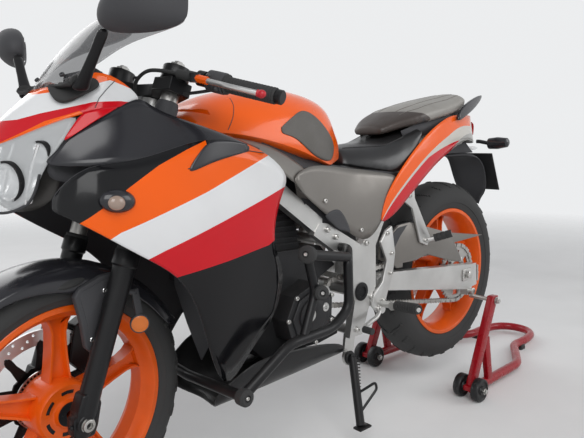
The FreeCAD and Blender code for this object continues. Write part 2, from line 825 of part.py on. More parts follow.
def main_frame():
    """Join the head tube, both spars, the pivot plates, seat rails, stays and cross tubes."""
    stem = D.yoke_thickness + 1
    head = rod(on_axis(D.lower_yoke_height, stem), on_axis(D.top_yoke_height, -1), D.head_tube_diameter / 2)
    bore = rod(on_axis(D.lower_yoke_height, stem - 9), on_axis(D.top_yoke_height, 9),
               D.stem_diameter / 2 + D.bore_clearance, 24)
    out = D.frame_half_width
    thick = D.pivot_plate_thickness
    items = []
    plate = [(618, 602), (640, 632), (668, 628), (806, 556), (868, 618), (908, 622), (868, 548),
             (872, 430), (848, 388), (816, 300), (762, 298), (782, 400), (748, 500), (690, 556)]
    plate = [(D.pivot_x + (x - 808), D.pivot_height + (z - 424)) for x, z in plate]
    # The middle of the head tube, and where the seat rails stand on the pivot plates
    middle = (D.lower_yoke_height + D.yoke_thickness + D.top_yoke_height) / 2
    lift = middle - 826.5
    foot_x, foot_z = D.pivot_x + 42, D.pivot_height + 172
    cross_x = foot_x + 34
    cross_z = foot_z + (742 - foot_z) * (cross_x - foot_x) / (960 - foot_x)
    # x, y, top and height of a spar's section, from the head tube back
    stations = ((axis_at(middle) + 4.3, 22, middle + 23.5, 56), (330, 58, 829.6 + lift * 0.7, 54),
                (430, 94, 811.6, 60), (D.pivot_x - 158, 118, D.pivot_height + 218, 52))
    for side in (-1, 1):
        near, far = sorted((out * side, (out - thick) * side), key=number)
        items.append(prism("XZ", plate, near, far))
        spar = []
        for x, y, top, tall in stations:
            inner, outer = y * side - 15, y * side + 15
            spar.append([(x, inner, top - tall), (x, outer, top - tall), (x, outer, top), (x, inner, top)])
        items.append(feature(loft(spar)))
        near, far = sorted((84 * side, 104 * side))
        items.append(prism("XZ", [(388, 694.3), (402, 690.8), (440, 765), (412, 770)], near, far))
        rail = [(foot_x, 106 * side, foot_z), (960, 86 * side, 742), (1400, 66 * side, 850)]
        items.append(feature(tube(rail, 14)))
    inner = out - thick + 2
    for x, z in ((D.pivot_x - 8, D.pivot_height + 132), (D.pivot_x - 20, D.pivot_height - 112)):
        items.append(rod((x, -inner, z), (x, inner, z), 14))
    items.append(rod((cross_x, -102, cross_z), (cross_x, 102, cross_z), 12))
    items.append(block((945, -92, 742), (985, 92, 761.7)))
    items.append(rod((1172, -119.6, 805), (1172, 119.6, 805), 12))
    items.append(block((1356, -68, 838), (1384, 68, 852)))
    stay = [(-73.8, 800), (-73.8, 772), (60, 790), (196, 770 + lift), (212, 830 + lift), (104, 871.5), (58, 884)]
    items.append(prism("XZ", stay, -22, 22))
    bracket = minus(rod(stand_axis(-4), stand_axis(4), 21, 16),
                    rod(stand_axis(-9), stand_axis(9), D.side_stand_pin_diameter / 2 + D.bore_clearance, 16))
    arm = [(-44, -172), (-8, -174), (4, -120), (-38, -120)]
    arm = prism("XZ", [(D.pivot_x + x, D.pivot_height + z) for x, z in arm], -out + 21, -out + 30)
    return union([minus(union([head] + items), bore), bracket, arm])


keep(main_frame(), "main_frame")

# Engine and what hangs on it

engine = Piece("engine")
case = [(452, 330), (500, 288), (700, 286), (773.7, 298), (773.7, 340), (700, 388), (694, 470), (760, 500), (700, 560), (520, 560), (462, 470)]
engine.pad("XZ", case, -78, 78)
engine.pad("XZ", [(540, 340), (620, 318), (682, 370), (684, 440), (620, 480), (548, 452), (520, 395)], -140, -70)
engine.pad("XZ", [(520, 330), (640, 300), (700, 350), (700, 450), (620, 500), (530, 470), (500, 400)], 70, 136)
engine.pad("XZ", [(505, 550), (640, 550), (600, 700), (470, 690)], -62, 62)
engine.pad("XZ", [(452, 668), (618, 676), (600, 760), (520, 792), (440, 756)], -78, 78)
engine.pad("XZ", [(612, 224.8), (620, 225.5), (650, 228.9), (650, 290), (612, 290)], -10, 10)
keep(engine.body, "engine")

radiator = Piece("radiator")
radiator.pad("XZ", [(372, 470), (404, 462), (404, 690), (372, 698)], -120, 120)
radiator.pad("XZ", [(364, 478), (410, 466), (410, 684), (364, 694)], -146, -112)
radiator.pad("XZ", [(364, 478), (410, 466), (410, 684), (364, 694)], 112, 146)
keep(radiator.body, "radiator")

# A header drops from the cylinder, runs back under the engine and turns out to the muffler.
header = [(484.7, 36, 629.9), (455.6, 36, 622.6), (426, 40, 560), (426, 44, 330), (470, 52, 250), (600, 62, 252), (720, 98, 270),
          (880, 128, 286), (990, 186, 372)]
pipe = tube(header, 18, 24, 1)
# x, y, z and radius of the muffler's rings
can = loft([ring_points((x, y, z), r, 10, (0.92, 0.02, 0.39), 18) for x, y, z, r in (
    (980, 186, 366, 24), (1070, 190, 404, 46), (1400, 196, 544, 52), (1446, 198, 563, 34))])
keep(feature(pipe.fuse(can)), "exhaust")

# Rear suspension


def arm_top(x):
    """Return the height of the swingarm's upper edge behind the pivot."""
    slope = (D.rear_axle_height + 32 - 458) / (D.wheelbase + 26 - 940)
    return slope * (x - 940) + 458


def swingarm():
    """Join both box arms, the pivot tube, the cross box, the axle and the lift spools."""
    out, wall = D.swingarm_half_width, D.swingarm_wall
    plates = D.frame_half_width - D.pivot_plate_thickness - D.seat_gap
    rear, height = D.wheelbase, D.rear_axle_height
    spool = rear + 28
    items = []
    for side in (-1, 1):
        near, far = sorted((out * side, (out - wall) * side), key=number)
        arm = [(884, 418), (884, 446), (940, 458), (rear + 26, height + 32), (rear + 66, height + 31),
               (rear + 74, height - 46), (rear + 6, height - 54), (942, 404)]
        items.append(prism("XZ", arm, near, far))
        near, far = sorted((plates * side, (out - wall - 8) * side), key=number)
        neck = [(D.pivot_x - 26, D.pivot_height - 20), (D.pivot_x - 26, D.pivot_height + 22), (940, 456), (942, 406)]
        items.append(prism("XZ", neck, near, far))
        items.append(rod((spool, (out - 1) * side, height - 62), (spool, (out + 16) * side, height - 62), 10))
        near, far = sorted((out * side, (out - wall) * side), key=number)
        items.append(prism("XZ", [(rear + 14, height - 76), (rear + 42, height - 76), (rear + 42, height - 40),
                                  (rear + 14, height - 40)], near, far))
    items.append(rod((D.pivot_x, -plates, D.pivot_height), (D.pivot_x, plates, D.pivot_height),
                     D.pivot_tube_diameter / 2))
    inner = out - wall - 6
    items.append(prism("XZ", [(884, 404), (950, 404), (950, 440), (884, 440)], -inner, inner))
    items.append(prism("XZ", [(884, 430), (950, 430), (926, 520), (896, 520)], -40, 40))
    items.append(rod((rear, -out - 12, height), (rear, out + 12, height), D.axle_diameter / 2))
    return union(items)


keep(swingarm(), "swingarm")

shock = rod((898, 0, 520.9), (887, 0, 606), 26)
keep(union([shock, rod((888, 0, 600), (884.6, 0, 628.4), 12)]), "shock_absorber")

guard = Piece("chain_guard")
fin = [(905, 500), (905, 534), (994, 592), (1053, 597), (1266, 545), (1490, 515), (1305, 506), (1352, 450),
       (1352, arm_top(1352) + D.seat_gap), (1322, arm_top(1322) + D.seat_gap), (1290, 446), (1147, 486),
       (1090, 474), (1020, 474), (1020, arm_top(1020) + D.seat_gap), (990, arm_top(990) + D.seat_gap), (974, 474)]
guard.pad("XZ", fin, -118, -112)
keep(guard.body, "chain_guard")

# Bodywork


def side_fairing(side):
    """Shape one side of the fairing from its top edge down to the notch under the engine."""
    rows = [
        [(-45, 160, 745), (-6, 200, 797), (84, 206, 796), (190, 212, 832), (250, 212, 842), (330, 208, 838), (410, 200, 811), (490, 188, 757)],
        [(-50, 163, 732), (-10, 212, 745), (83, 228, 722), (185, 229, 718), (248, 224, 708), (325, 215, 700), (400, 204, 695), (452, 190, 715)],
        [(-51, 164, 724), (-15, 214, 718), (82, 227, 668), (182, 222, 640), (250, 212, 600), (318, 200, 560), (400, 192, 590), (420, 194, 604)],
        [(-51, 164, 718), (-17, 214, 705), (81, 225, 645), (181, 214, 602), (248, 195, 525), (315, 174, 430), (395, 172, 470), (487, 176, 540)],
        [(-50, 165, 712), (-19, 213, 693), (81, 222, 627), (180, 206, 573), (246, 180, 464), (311, 150, 305), (389, 160, 368), (462, 166, 424)],
    ]
    rows = [[(x, y * side, z) for x, y, z in row] for row in rows]
    return shell(rows, D.panel_thickness, (0, -side, 0))


keep(feature(side_fairing(-1)), "side_fairing_left")
keep(feature(side_fairing(1)), "side_fairing_right")


def across(half_rows):
    """Mirror rows given from the middle plane outwards, so that they run from side to side."""
    rows = []
    for row in half_rows:
        left = [(x, -y, z) for x, y, z in reversed(row) if number(y) > 0]
        rows.append(left + list(row))
    return rows


nose = across([
    [(-122, 0, 822), (-96, 50, 828), (-38, 92, 862), (25, 131, 888), (62, 146, 872), (98, 150, 888)],
    [(-100, 0, 870), (-80, 52, 868), (-28, 92, 885), (32, 130, 915), (75, 147, 900), (112, 150, 898)],
    [(-72, 0, 905), (-58, 55, 905), (-18, 90, 915), (40, 126, 945), (90, 146, 925), (127, 150, 906)],
    [(-48, 0, 930), (-38, 55, 935), (-8, 82, 939), (50, 128, 974), (104, 145, 945), (140, 150, 914)],
])
keep(feature(shell(nose, D.panel_thickness, (0.6, 0, -0.8))), "upper_fairing")

screen = across([
    [(-46, 0, 933.4), (-36, 55, 938.4), (-6, 82, 942.4), (22, 110, 962.4), (52, 140, 979.4)],
    [(20, 0, 990), (26, 50, 992), (44, 84, 998), (74, 112, 1008), (110, 138, 1020)],
    [(110, 0, 1055), (114, 48, 1056), (126, 84, 1056), (150, 112, 1054), (180, 134, 1050)],
    [(210, 0, 1110), (212, 44, 1109), (218, 80, 1104), (230, 108, 1094), (246, 130, 1080)],
    [(262, 0, 1128), (263, 40, 1126), (264, 72, 1118), (264, 96, 1104), (262, 118, 1088)],
])
keep(feature(shell(screen, D.screen_thickness, (0.6, 0, -0.8))), "windscreen")

lamp = across([
    [(-122, 0, 821.4), (-96, 50, 827.4), (-38, 92, 861.4), (22, 129, 885)],
    [(-136, 0, 780), (-112, 50, 785), (-56, 96, 800), (-20, 128, 835)],
    [(-130, 0, 735), (-118, 45, 730), (-84, 90, 742), (-55, 118, 775)],
    [(-112, 0, 705), (-104, 40, 702), (-84, 74, 708), (-58, 100, 728)],
])
keep(feature(shell(lamp, 40, (1, 0, 0))), "headlight")

cowl = []
for side in (-1, 1):
    rows = [
        [(-6, 134, 834), (28, 142, 860), (100, 152, 876), (146, 152, 890), (228, 170, 875), (296, 180, 856), (394, 186, 824)],
        [(-30, 128, 812), (10, 155, 830), (90, 172, 838), (150, 176, 850), (230, 190, 858), (300, 194, 850), (400, 192, 818)],
        [(-54, 122, 793), (-12, 160, 790), (24, 192, 794), (86, 200, 792), (160, 204, 808), (240, 208, 838), (330, 205, 834)],
    ]
    rows = [[(x, y * side, z) for x, y, z in row] for row in rows]
    cowl.append(shell(rows, D.panel_thickness, (0, -side, 0)))
keep(feature(Part.makeCompound(cowl)), "inner_cowl")

belly = across([
    [(360, 0, 206), (346, 60, 208), (328, 112, 222), (306, 122, 256), (376, 128, 294)],
    [(480, 0, 210), (478, 60, 212), (470, 112, 230), (450, 140, 270), (430, 150, 330)],
    [(620, 0, 222), (620, 60, 224), (618, 114, 240), (612, 144, 280), (600, 152, 322)],
    [(744, 0, 236), (744, 60, 238), (742, 112, 250), (740, 134, 270), (734, 140, 294)],
])
shroud = prism("YZ", [(-118, 640), (-116, 470), (0, 296), (116, 470), (118, 640)], 360, 363.7)
pan = feature(shell(belly, D.panel_thickness, (0, 0, 1)))
keep(union([pan, shroud]), "belly_pan")


def tank():
    """Loft the tank through half sections given from the top middle down the side."""
    sections = [
        [(262, 0, 884), (262, 60, 882), (262, 104, 868), (262, 112, 852), (262, 60, 846), (262, 0, 846)],
        [(330, 0, 934), (330, 70, 928), (330, 122, 896), (330, 146, 858), (330, 90, 830), (330, 0, 830)],
        [(430, 0, 968), (430, 80, 954), (430, 132, 904), (430, 150, 846), (430, 110, 812), (430, 0, 812)],
        [(560, 0, 982), (560, 84, 960), (560, 134, 902), (560, 138, 820), (560, 100, 800), (560, 0, 800)],
        [(690, 0, 972), (690, 74, 944), (690, 116, 880), (690, 118, 776), (690, 80, 770), (690, 0, 770)],
        [(782, 0, 936), (782, 44, 918), (782, 72, 866), (782, 66, 792), (782, 40, 782), (782, 0, 782)],
    ]
    rings = []
    for half in sections:
        rings.append(list(half) + [(x, -y, z) for x, y, z in reversed(half) if y > 0])
    return loft(rings)


def steering_room():
    """Join the room that the tank leaves for the head tube, the top yoke and both turned legs."""
    items = [rod(on_axis(D.lower_yoke_height, 20), on_axis(D.top_yoke_height, 20), D.head_tube_diameter / 2 + 7)]
    # x behind the steering axis and y of what the yoke and a leg sweep at full lock
    yoke_sweep = [(-160, -150), (79, -150), (79, -92), (58, -57), (51.5, 0), (58, 57), (79, 92), (79, 150), (-160, 150)]
    leg_sweep = [(-160, 72), (26, 74), (46, 82), (52, 101), (46, 120), (26, 128), (-160, 130)]
    top = prism("XY", yoke_sweep, -6, 90)
    place(top, on_axis(D.top_yoke_height, 0))
    items.append(top)
    for side in (-1, 1):
        slot = prism("XY", [(x, y * side) for x, y in leg_sweep], 20, 250)
        place(slot, on_axis(D.lower_yoke_height, 0))
        items.append(slot)
    return union(items)


keep(minus(feature(tank()), steering_room()), "fuel_tank")


def mirror_rings(half_sections):
    rings = []
    for half in half_sections:
        rings.append(list(half) + [(x, -y, z) for x, y, z in reversed(half) if y > 0])
    return rings


seat = mirror_rings([
    [(806, 0, 826), (806, 46, 822), (800, 70, 796), (790, 76, 775), (790, 0, 775)],
    [(868, 0, 834), (868, 62, 828), (862, 96, 800), (850, 104, 764), (850, 0, 764)],
    [(960, 0, 838), (960, 92, 832), (958, 124, 800), (950, 126, 762), (950, 0, 762)],
    [(1050, 0, 862), (1050, 96, 858), (1054, 122, 836), (1030, 124, 792), (1030, 0, 792)],
    [(1098, 0, 890), (1098, 84, 886), (1100, 110, 872), (1078, 118, 818), (1078, 0, 818)],
])
keep(feature(loft(seat)), "rider_seat")

pillion = mirror_rings([
    [(925, 0, 884), (925, 40, 878), (925, 50, 868), (930, 46, 852), (930, 0, 852)],
    [(1000, 0, 938), (1000, 70, 930), (1000, 96, 914), (1004, 90, 890), (1004, 0, 890)],
    [(1130, 0, 962), (1130, 92, 950), (1130, 122, 926), (1130, 118, 900), (1130, 0, 900)],
    [(1300, 0, 996), (1300, 84, 984), (1300, 108, 958), (1300, 100, 930), (1300, 0, 930)],
    [(1400, 0, 1006), (1400, 60, 998), (1400, 82, 980), (1400, 76, 952), (1400, 0, 952)],
])
keep(feature(loft(pillion)), "pillion_seat")

def tail_rows():
    """Return the tail's side panels and end as rows from the top edge down, tip to tip."""
    # x, y, z at the top edge, at the middle and at the lower edge, from the tail's end forward
    columns = (
        ((1536, 0, 932), (1542, 0, 890), (1546, 0, 842)),
        ((1496, 66, 936), (1508, 64, 884), (1532, 58, 838)),
        ((1330, 95, 935.6), (1372, 100, 900), (1424, 86, 858)),
        ((1250, 107, 920.2), (1275, 114, 878), (1304, 108, 826)),
        ((1140, 119, 874), (1165, 125, 828), (1180, 124, 778)),
        ((1052, 126, 816), (1078, 131, 776), (1100, 131, 731)),
        ((966, 137, 753), (985, 139, 712), (1004, 137, 669)),
        ((903, 139, 687), (922, 141, 660), (945, 139, 629)),
        ((884, 139, 622), (888, 140, 617), (894, 139, 612)),
    )
    rows = []
    for level in range(3):
        half = [column[level] for column in columns]
        rows.append([(x, -y, z) for x, y, z in reversed(half[1:])] + half)
    return rows


keep(feature(shell(tail_rows(), D.panel_thickness, (-1, 0, 0))), "tail_cowl")

rails = []
for side in (-1, 1):
    rows = [[(1312, 114.2 * side, 908), (1376, 109 * side, 934), (1455, 91 * side, 962), (1526, 72 * side, 996)],
            [(1317, 112.6 * side, 930), (1353, 107 * side, 962), (1440, 91 * side, 992), (1526, 72 * side, 1012)]]
    rails.append(shell(rows, 10, (0, -side, 0)))
keep(feature(Part.makeCompound(rails)), "grab_rails")

covers = []
for side in (-1, 1):
    rows = [
        [(499, 182, 756), (591, 150, 786), (750, 128, 765), (800, 118, 764), (880, 126, 752), (944, 134, 748)],
        [(520, 178, 735), (610, 150, 720), (720, 142, 690), (800, 138, 680), (852, 137, 688), (894, 137, 700)],
        [(540, 172, 718), (625, 152, 672), (692, 144, 630), (762, 140, 588), (820, 139, 560), (866, 138, 612)],
    ]
    rows = [[(x, y * side, z) for x, y, z in row] for row in rows]
    covers.append(shell(rows, D.panel_thickness, (0, -side, 0)))
keep(feature(Part.makeCompound(covers)), "side_covers")

# x, z and half width of the rear mudguard, from under the seat down to its tongue
flap_stations = ((1340, 800, 50), (1430, 806, 54), (1530, 804, 62), (1572, 772, 74), (1612, 672, 66),
                 (1626, 646, 34), (1643, 612, 14))
flap = across([[(x, 0, z), (x, half * 0.86, z), (x - 7, half, z - 7)] for x, z, half in flap_stations])
holder = prism("XZ", [(1344, 802), (1364, 837.7), (1384, 837.7), (1401, 848), (1459, 850), (1524, 806)], -51.5, 51.5)
bridge = prism("XZ", [(1583, 742), (1622, 742), (1642, 700), (1600, 700)], -30, 30)
blank_plate = prism("XZ", [(1592, 802), (1596, 804), (1662, 667), (1658, 665)], -85, 85)
keep(union([feature(shell(flap, D.panel_thickness, (-1, 0, -1))), holder, bridge, blank_plate]), "rear_fender")

lights = []
for side in (-1, 1):
    facing = (-0.24, 0.96 * side, 0.1)
    lights.append(loft([ring_points((34 - 0.24 * s, (223 + 0.96 * s) * side, 727 + 0.1 * s), r, 8, facing, 22.5)
                        for s, r in ((0.3, 27), (20, 30), (38, 15))]))
    stalk = tube([(1522.7, 61.2 * side, 846), (1525.6, 72 * side, 846), (1514, 122 * side, 838)], 7)
    # y, height and radius of the lamp's rings
    lamp = loft([ring_points((1512, y * side, z), r, 6, (0, side, 0)) for y, z, r in
                 ((116, 838, 20), (150, 840, 22), (188, 843, 12))])
    lights.append(stalk.fuse(lamp))
lights.append(loft([[(1546.4, -46, 852), (1546.4, 46, 852), (1538, 46, 926), (1538, -46, 926)],
                    [(1568, -36, 862), (1568, 36, 862), (1556, 36, 918), (1556, -36, 918)]]))
keep(feature(Part.makeCompound(lights)), "signal_lights")

cluster = Piece("instrument_cluster")
cluster.pad("XZ", [(58, 884.3), (104, 871.8), (128, 950), (76, 980)], -76, 76)
keep(cluster.body, "instrument_cluster")

mirrors = []
for side in (-1, 1):
    stem = tube([(29.2, 126.6 * side, 921.7), (21, 136.6 * side, 925.3), (8, 176 * side, 966), (30, 232 * side, 1040)], 8)
    head = loft([[(28, 210 * side, 1005), (36, 210 * side, 1004), (30, 214 * side, 1058), (20, 214 * side, 1060)],
                 [(50, 300 * side, 1012), (62, 300 * side, 1011), (52, 296 * side, 1100), (18, 296 * side, 1104)],
                 [(98, 362 * side, 1030), (106, 362 * side, 1030), (96, 356 * side, 1094), (86, 356 * side, 1094)]])
    mirrors.append(stem.fuse(head))
keep(feature(Part.makeCompound(mirrors)), "mirrors")

# Rests and controls


def rest_points(side):
    return (888, 140 * side, 376), (853, 296 * side, 396)


# The brackets' outline, and the rider's gear lever and brake pedal with its turned-in tip
bracket = [(880, 556), (905, 590), (930, 600), (948, 520), (940, 460), (916, 404), (900, 360), (872, 352),
           (846, 376), (852, 404), (892, 440), (910, 500)]
footrests = []
for side in (-1, 1):
    low, high = sorted(((D.frame_half_width + D.seat_gap) * side, (D.frame_half_width + 10) * side), key=number)
    start, end = rest_points(side)
    arm = prism("XZ", bracket, low, high)
    peg = rod(start, end, 12)
    lever = tube([(884, 143 * side, 362), (858, 154 * side, 346), (800, 160 * side, 334),
                  (774, 178 * side, 332), (774, 206 * side, 331)], 7)
    footrests.append(union([arm, peg, feature(lever)]))
keep(union(footrests), "rider_footrests")

pillion_rests = []
for side in (-1, 1):
    low, high = sorted((120 * side, 129 * side))
    strut = [(1000, 668), (1012, 768), (1046, 772), (1060, 672), (1150, 540), (1132, 516), (1096, 530), (1050, 640)]
    arm = prism("XZ", strut, low, high)
    post = rod((1030, 97.6 * side, 760), (1030, 122 * side, 760), 10)
    peg = rod((1128, 126 * side, 534), (1168, 192 * side, 560), 12)
    pillion_rests.append(union([arm, post, peg]))
keep(union(pillion_rests), "pillion_footrests")

# Crash bars

bars = []
radius = D.crash_tube_diameter / 2
for side in (-1, 1):
    path = [(720, (D.frame_half_width + D.seat_gap) * side, 560), (720, 160 * side, 560), (668, 206 * side, 552), (664, 216 * side, 420), (600, 220 * side, 382),
            (452, 224 * side, 376), (320, 216 * side, 286), (320, 0, 274)]
    bars.append(tube(path, radius, 26, 1))
    bars.append(tube([(664, 208 * side, 550), (512, 226 * side, 577)], radius))
    bars.append(tube([(520, 222 * side, 576), (496, 228 * side, 580)], 22))
    bars.append(tube([(320, 210 * side, 286), (320, 236 * side, 287)], 20))
frame_of_bars = bars[0]
for bar in bars[1:]:
    frame_of_bars = frame_of_bars.fuse(bar)
keep(feature(frame_of_bars), "crash_bars")

# Stands

# The stand's lug lies on the bracket's outer face, held by a headed pin through its bore.
lug = rod(stand_axis(4 + D.seat_gap), stand_axis(13), 19, 16)
pin = rod(stand_axis(-6 - D.seat_gap), stand_axis(8), D.side_stand_pin_diameter / 2, 16)
pin_head = rod(stand_axis(-9 - D.seat_gap), stand_axis(-4 - D.seat_gap), 11, 8)
foot = (742, -195, 74)
leg = feature(tube([stand_axis(17), foot], D.side_stand_diameter / 2))
sole = block((712, -222, 66), (778, -182, 74))
tang = feature(tube([(756, -166, 150), (812, -190, 160), (800, -200, 120), (748, -184, 104)], 4))
keep(union([lug, pin, pin_head, leg, sole, tang]), "side_stand")


def paddock_stand():
    """Join the floor loop, both braced uprights, lift pins and rear feet."""
    half, tube_radius = D.stand_half_width, D.stand_tube_diameter / 2
    height = tube_radius + 12
    tail = D.wheelbase - 1370
    path = []
    for x, y in ((1283, 1.0), (1625, 0.95), (1815, 0.44), (1905, 0.46), (2000, 0.38), (2048, 0.16)):
        path.append((tail + x, half * -y, height))
    path += mirrored(reversed(path))
    loop = feature(tube(path, tube_radius))
    items = [loop]
    spool = D.wheelbase + 28
    under = D.rear_axle_height - 62 - 10 - D.lift_pin_diameter / 2
    for side in (-1, 1):
        y = half * side
        wide = D.upright_width / 2
        lean = [(D.roller_x - wide, D.roller_radius - 4), (D.roller_x + wide, D.roller_radius - 4),
                (spool + wide, under + 16), (spool - wide, under + 16)]
        near, far = y - 12, y + 12
        items.append(prism("XZ", lean, near, far))
        brace = [(D.roller_x + 104, height), (D.roller_x + 132, height), (D.roller_x + 97, 192), (D.roller_x + 68, 176)]
        items.append(prism("XZ", brace, y - 9, y + 9))
        items.append(rod((spool, (D.swingarm_half_width + 2) * side, under), (spool, y + 26 * side, under), D.lift_pin_diameter / 2))
        spread = D.roller_spread / 2
        items.append(rod((D.roller_x, y - spread - 20, D.roller_radius), (D.roller_x, y + spread + 20, D.roller_radius), 7))
        items.append(block((number(tail) + 1846, 100 * side - 14, 0), (number(tail) + 1882, 100 * side + 14, 24)))
    return union(items)


keep(paddock_stand(), "paddock_stand")


def rollers(side):
    """Turn the two rollers of one side, bored for their axle."""
    half, spread = D.roller_width / 2, D.roller_spread / 2
    bore = 7 + D.bore_clearance
    profile = [(-half, bore), (half, bore), (half, D.roller_radius), (-half, D.roller_radius)]
    pair = [spin(profile, 18, spread * sign) for sign in (-1, 1)]
    return feature(Part.makeCompound(pair))


for side, label in ((-1, "stand_rollers_left"), (1, "stand_rollers_right")):
    keep(rollers(side), label, (D.roller_x, D.stand_half_width * side, D.roller_radius))

# Files

DOC.recompute()
for item in DOC.Objects:
    if {"Invalid", "Error"} & set(item.State):
        raise RuntimeError(f"{item.Name} ({item.Label}) failed: {item.State}")
os.makedirs("parts", exist_ok=True)
for item in NODES:
    shape = item.Shape
    if shape.isNull() or not shape.isValid() or not shape.Solids:
        raise RuntimeError(f"{item.Label} has no valid solid")
    shape.exportStep(os.path.join("parts", f"{item.Label}.step"))
    box = shape.BoundBox
    print(f"{item.Label:22s} solids {len(shape.Solids):2d} volume {shape.Volume / 1000:9.1f} cm3 "
          f"x {box.XMin:7.0f} {box.XMax:7.0f} y {box.YMin:6.0f} {box.YMax:6.0f} z {box.ZMin:6.0f} {box.ZMax:6.0f}")
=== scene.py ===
"""Looks of a small faired sport motorcycle that stands on a red rear paddock stand.

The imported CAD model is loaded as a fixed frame, and each sub-assembly below builds its meshes around it.
Tables hold millimetres: x runs back from the front axle, y to the rider's right and z up from the floor.
The steered parts are drawn with the bars straight and then turned to their place at rest.
"""

import json
import logging
import math
from dataclasses import dataclass
from enum import Enum
from typing import Iterable, Optional, Sequence

import bmesh
import bpy
from mathutils import Matrix, Vector
from mathutils.bvhtree import BVHTree


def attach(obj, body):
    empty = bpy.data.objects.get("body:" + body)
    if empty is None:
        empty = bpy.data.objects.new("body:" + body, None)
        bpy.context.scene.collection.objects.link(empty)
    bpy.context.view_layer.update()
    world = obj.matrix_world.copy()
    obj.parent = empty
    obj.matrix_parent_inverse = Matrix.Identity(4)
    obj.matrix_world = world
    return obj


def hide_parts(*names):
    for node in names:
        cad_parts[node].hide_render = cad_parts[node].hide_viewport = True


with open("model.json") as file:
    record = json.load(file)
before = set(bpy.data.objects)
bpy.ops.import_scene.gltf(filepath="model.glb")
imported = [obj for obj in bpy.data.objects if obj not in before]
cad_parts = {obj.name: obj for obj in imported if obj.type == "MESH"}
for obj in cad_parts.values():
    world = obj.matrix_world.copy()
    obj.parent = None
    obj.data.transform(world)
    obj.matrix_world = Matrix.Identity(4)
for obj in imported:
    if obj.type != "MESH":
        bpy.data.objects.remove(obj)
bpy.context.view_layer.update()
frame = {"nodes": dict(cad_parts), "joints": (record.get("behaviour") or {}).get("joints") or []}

LOG = logging.getLogger("motorcycle")
MIDDLE = 885.0
FRONT_AXLE_Z = 293.85
REAR_AXLE = (1370.0, 0.0, 390.0)
RAKE = math.radians(18.5)
STEER_LEFT = math.radians(7.0)
FORK_OFFSET = 36.5
FORK_HALF = 98.0
TOP_YOKE = 925.0
BEAD_RADIUS = 218.0
FRONT_TYRE = 293.0
REAR_TYRE = 314.0
DISC_FACE = 62.0
UP_FORK = (math.sin(RAKE), 0.0, math.cos(RAKE))
SMOOTH_ANGLE = math.radians(38)

Point = tuple[float, float, float] | Vector
Colour = tuple[float, float, float]
Row = Sequence[Point]


class Side(Enum):
    """The rider's left and right."""

    LEFT = -1
    RIGHT = 1


class Body(Enum):
    """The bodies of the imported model."""

    CHASSIS = "chassis"
    STEERING = "steering"
    FRONT_WHEEL = "front_wheel"
    REAR_WHEEL = "rear_wheel"
    SIDE_STAND = "side_stand"
    ROLLERS_LEFT = "rollers_left"
    ROLLERS_RIGHT = "rollers_right"


class Space(Enum):
    """What a painted band is measured in."""

    OBJECT = "Object"
    SURFACE = "UV"


def spot(point: Iterable[float]) -> Vector:
    """Turn millimetres behind the front axle into metres in the shared frame."""
    x, y, z = point
    return Vector(((x - MIDDLE) / 1000, y / 1000, z / 1000))


def steering_turn() -> Matrix:
    """Return the turn that brings a steered part from straight ahead to its place at rest."""
    joint = next(item for item in frame["joints"] if item["name"] == "steering_turn")
    pivot = Matrix.Translation(Vector(joint["pos_m"]))
    return pivot @ Matrix.Rotation(STEER_LEFT, 4, Vector(joint["axis"])) @ pivot.inverted()


STEERED = steering_turn()


def leg_at(height: float) -> float:
    """Return x of a fork leg's centre line at a height, in millimetres."""
    return (height - FRONT_AXLE_Z) * math.tan(RAKE)


def on_leg(height: float, rise: float, side: Side) -> Point:
    """Return the point on a fork leg level with a point on the steering axis.

    Args:
        height: height of the point on the steering axis, before the rise.
        rise: distance further up the axis.
        side: which leg.

    Returns:
        The point in millimetres.
    """
    return on_axis(height, rise, -FORK_OFFSET, FORK_HALF * side.value)


def on_axis(height: float, rise: float, back: float = 0.0, y: float = 0.0) -> Point:
    """Return a point given from the steering axis.

    Args:
        height: height of a point on the axis.
        rise: distance further up the axis.
        back, y: distances behind and beside the axis, square to it.

    Returns:
        The point in millimetres.
    """
    foot = FORK_OFFSET / math.cos(RAKE) - FRONT_AXLE_Z * math.tan(RAKE)
    x = foot + height * math.tan(RAKE) + rise * math.sin(RAKE) + back * math.cos(RAKE)
    return x, y, height + rise * math.cos(RAKE) - back * math.sin(RAKE)


def flipped(rows: Sequence[Row], side: Side) -> list[list[Point]]:
    """Return rows given for the right side on the side asked for."""
    return [[(x, y * side.value, z) for x, y, z in row] for row in rows]


def both_sides(rows: Sequence[Row]) -> list[list[list[Point]]]:
    """Return rows given for the right side once for each side."""
    return [flipped(rows, side) for side in Side]


def across(half_rows: Sequence[Row]) -> list[list[Point]]:
    """Mirror rows given from the middle outwards, so that they run from side to side."""
    rows = []
    for row in half_rows:
        left = [(x, -y, z) for x, y, z in reversed(row) if y > 0]
        rows.append(left + list(row))
    return rows


def rings_across(half_rings: Sequence[Row]) -> list[list[Point]]:
    """Close half sections, given from the top middle to the bottom middle, into rings."""
    return [list(half) + [(x, -y, z) for x, y, z in reversed(half) if y > 0] for half in half_rings]


def placed(name: str, data: bpy.types.ID) -> bpy.types.Object:
    """Return a new object in the scene that shows a mesh, a lamp or a camera."""
    item = bpy.data.objects.new(name, data)
    bpy.context.scene.collection.objects.link(item)
    return item


def modify(item: bpy.types.Object, name: str, kind: str, **settings: object) -> bpy.types.Modifier:
    """Add a modifier and set its own properties."""
    modifier = item.modifiers.new(name, kind)
    for key, value in settings.items():
        setattr(modifier, key, value)
    return modifier


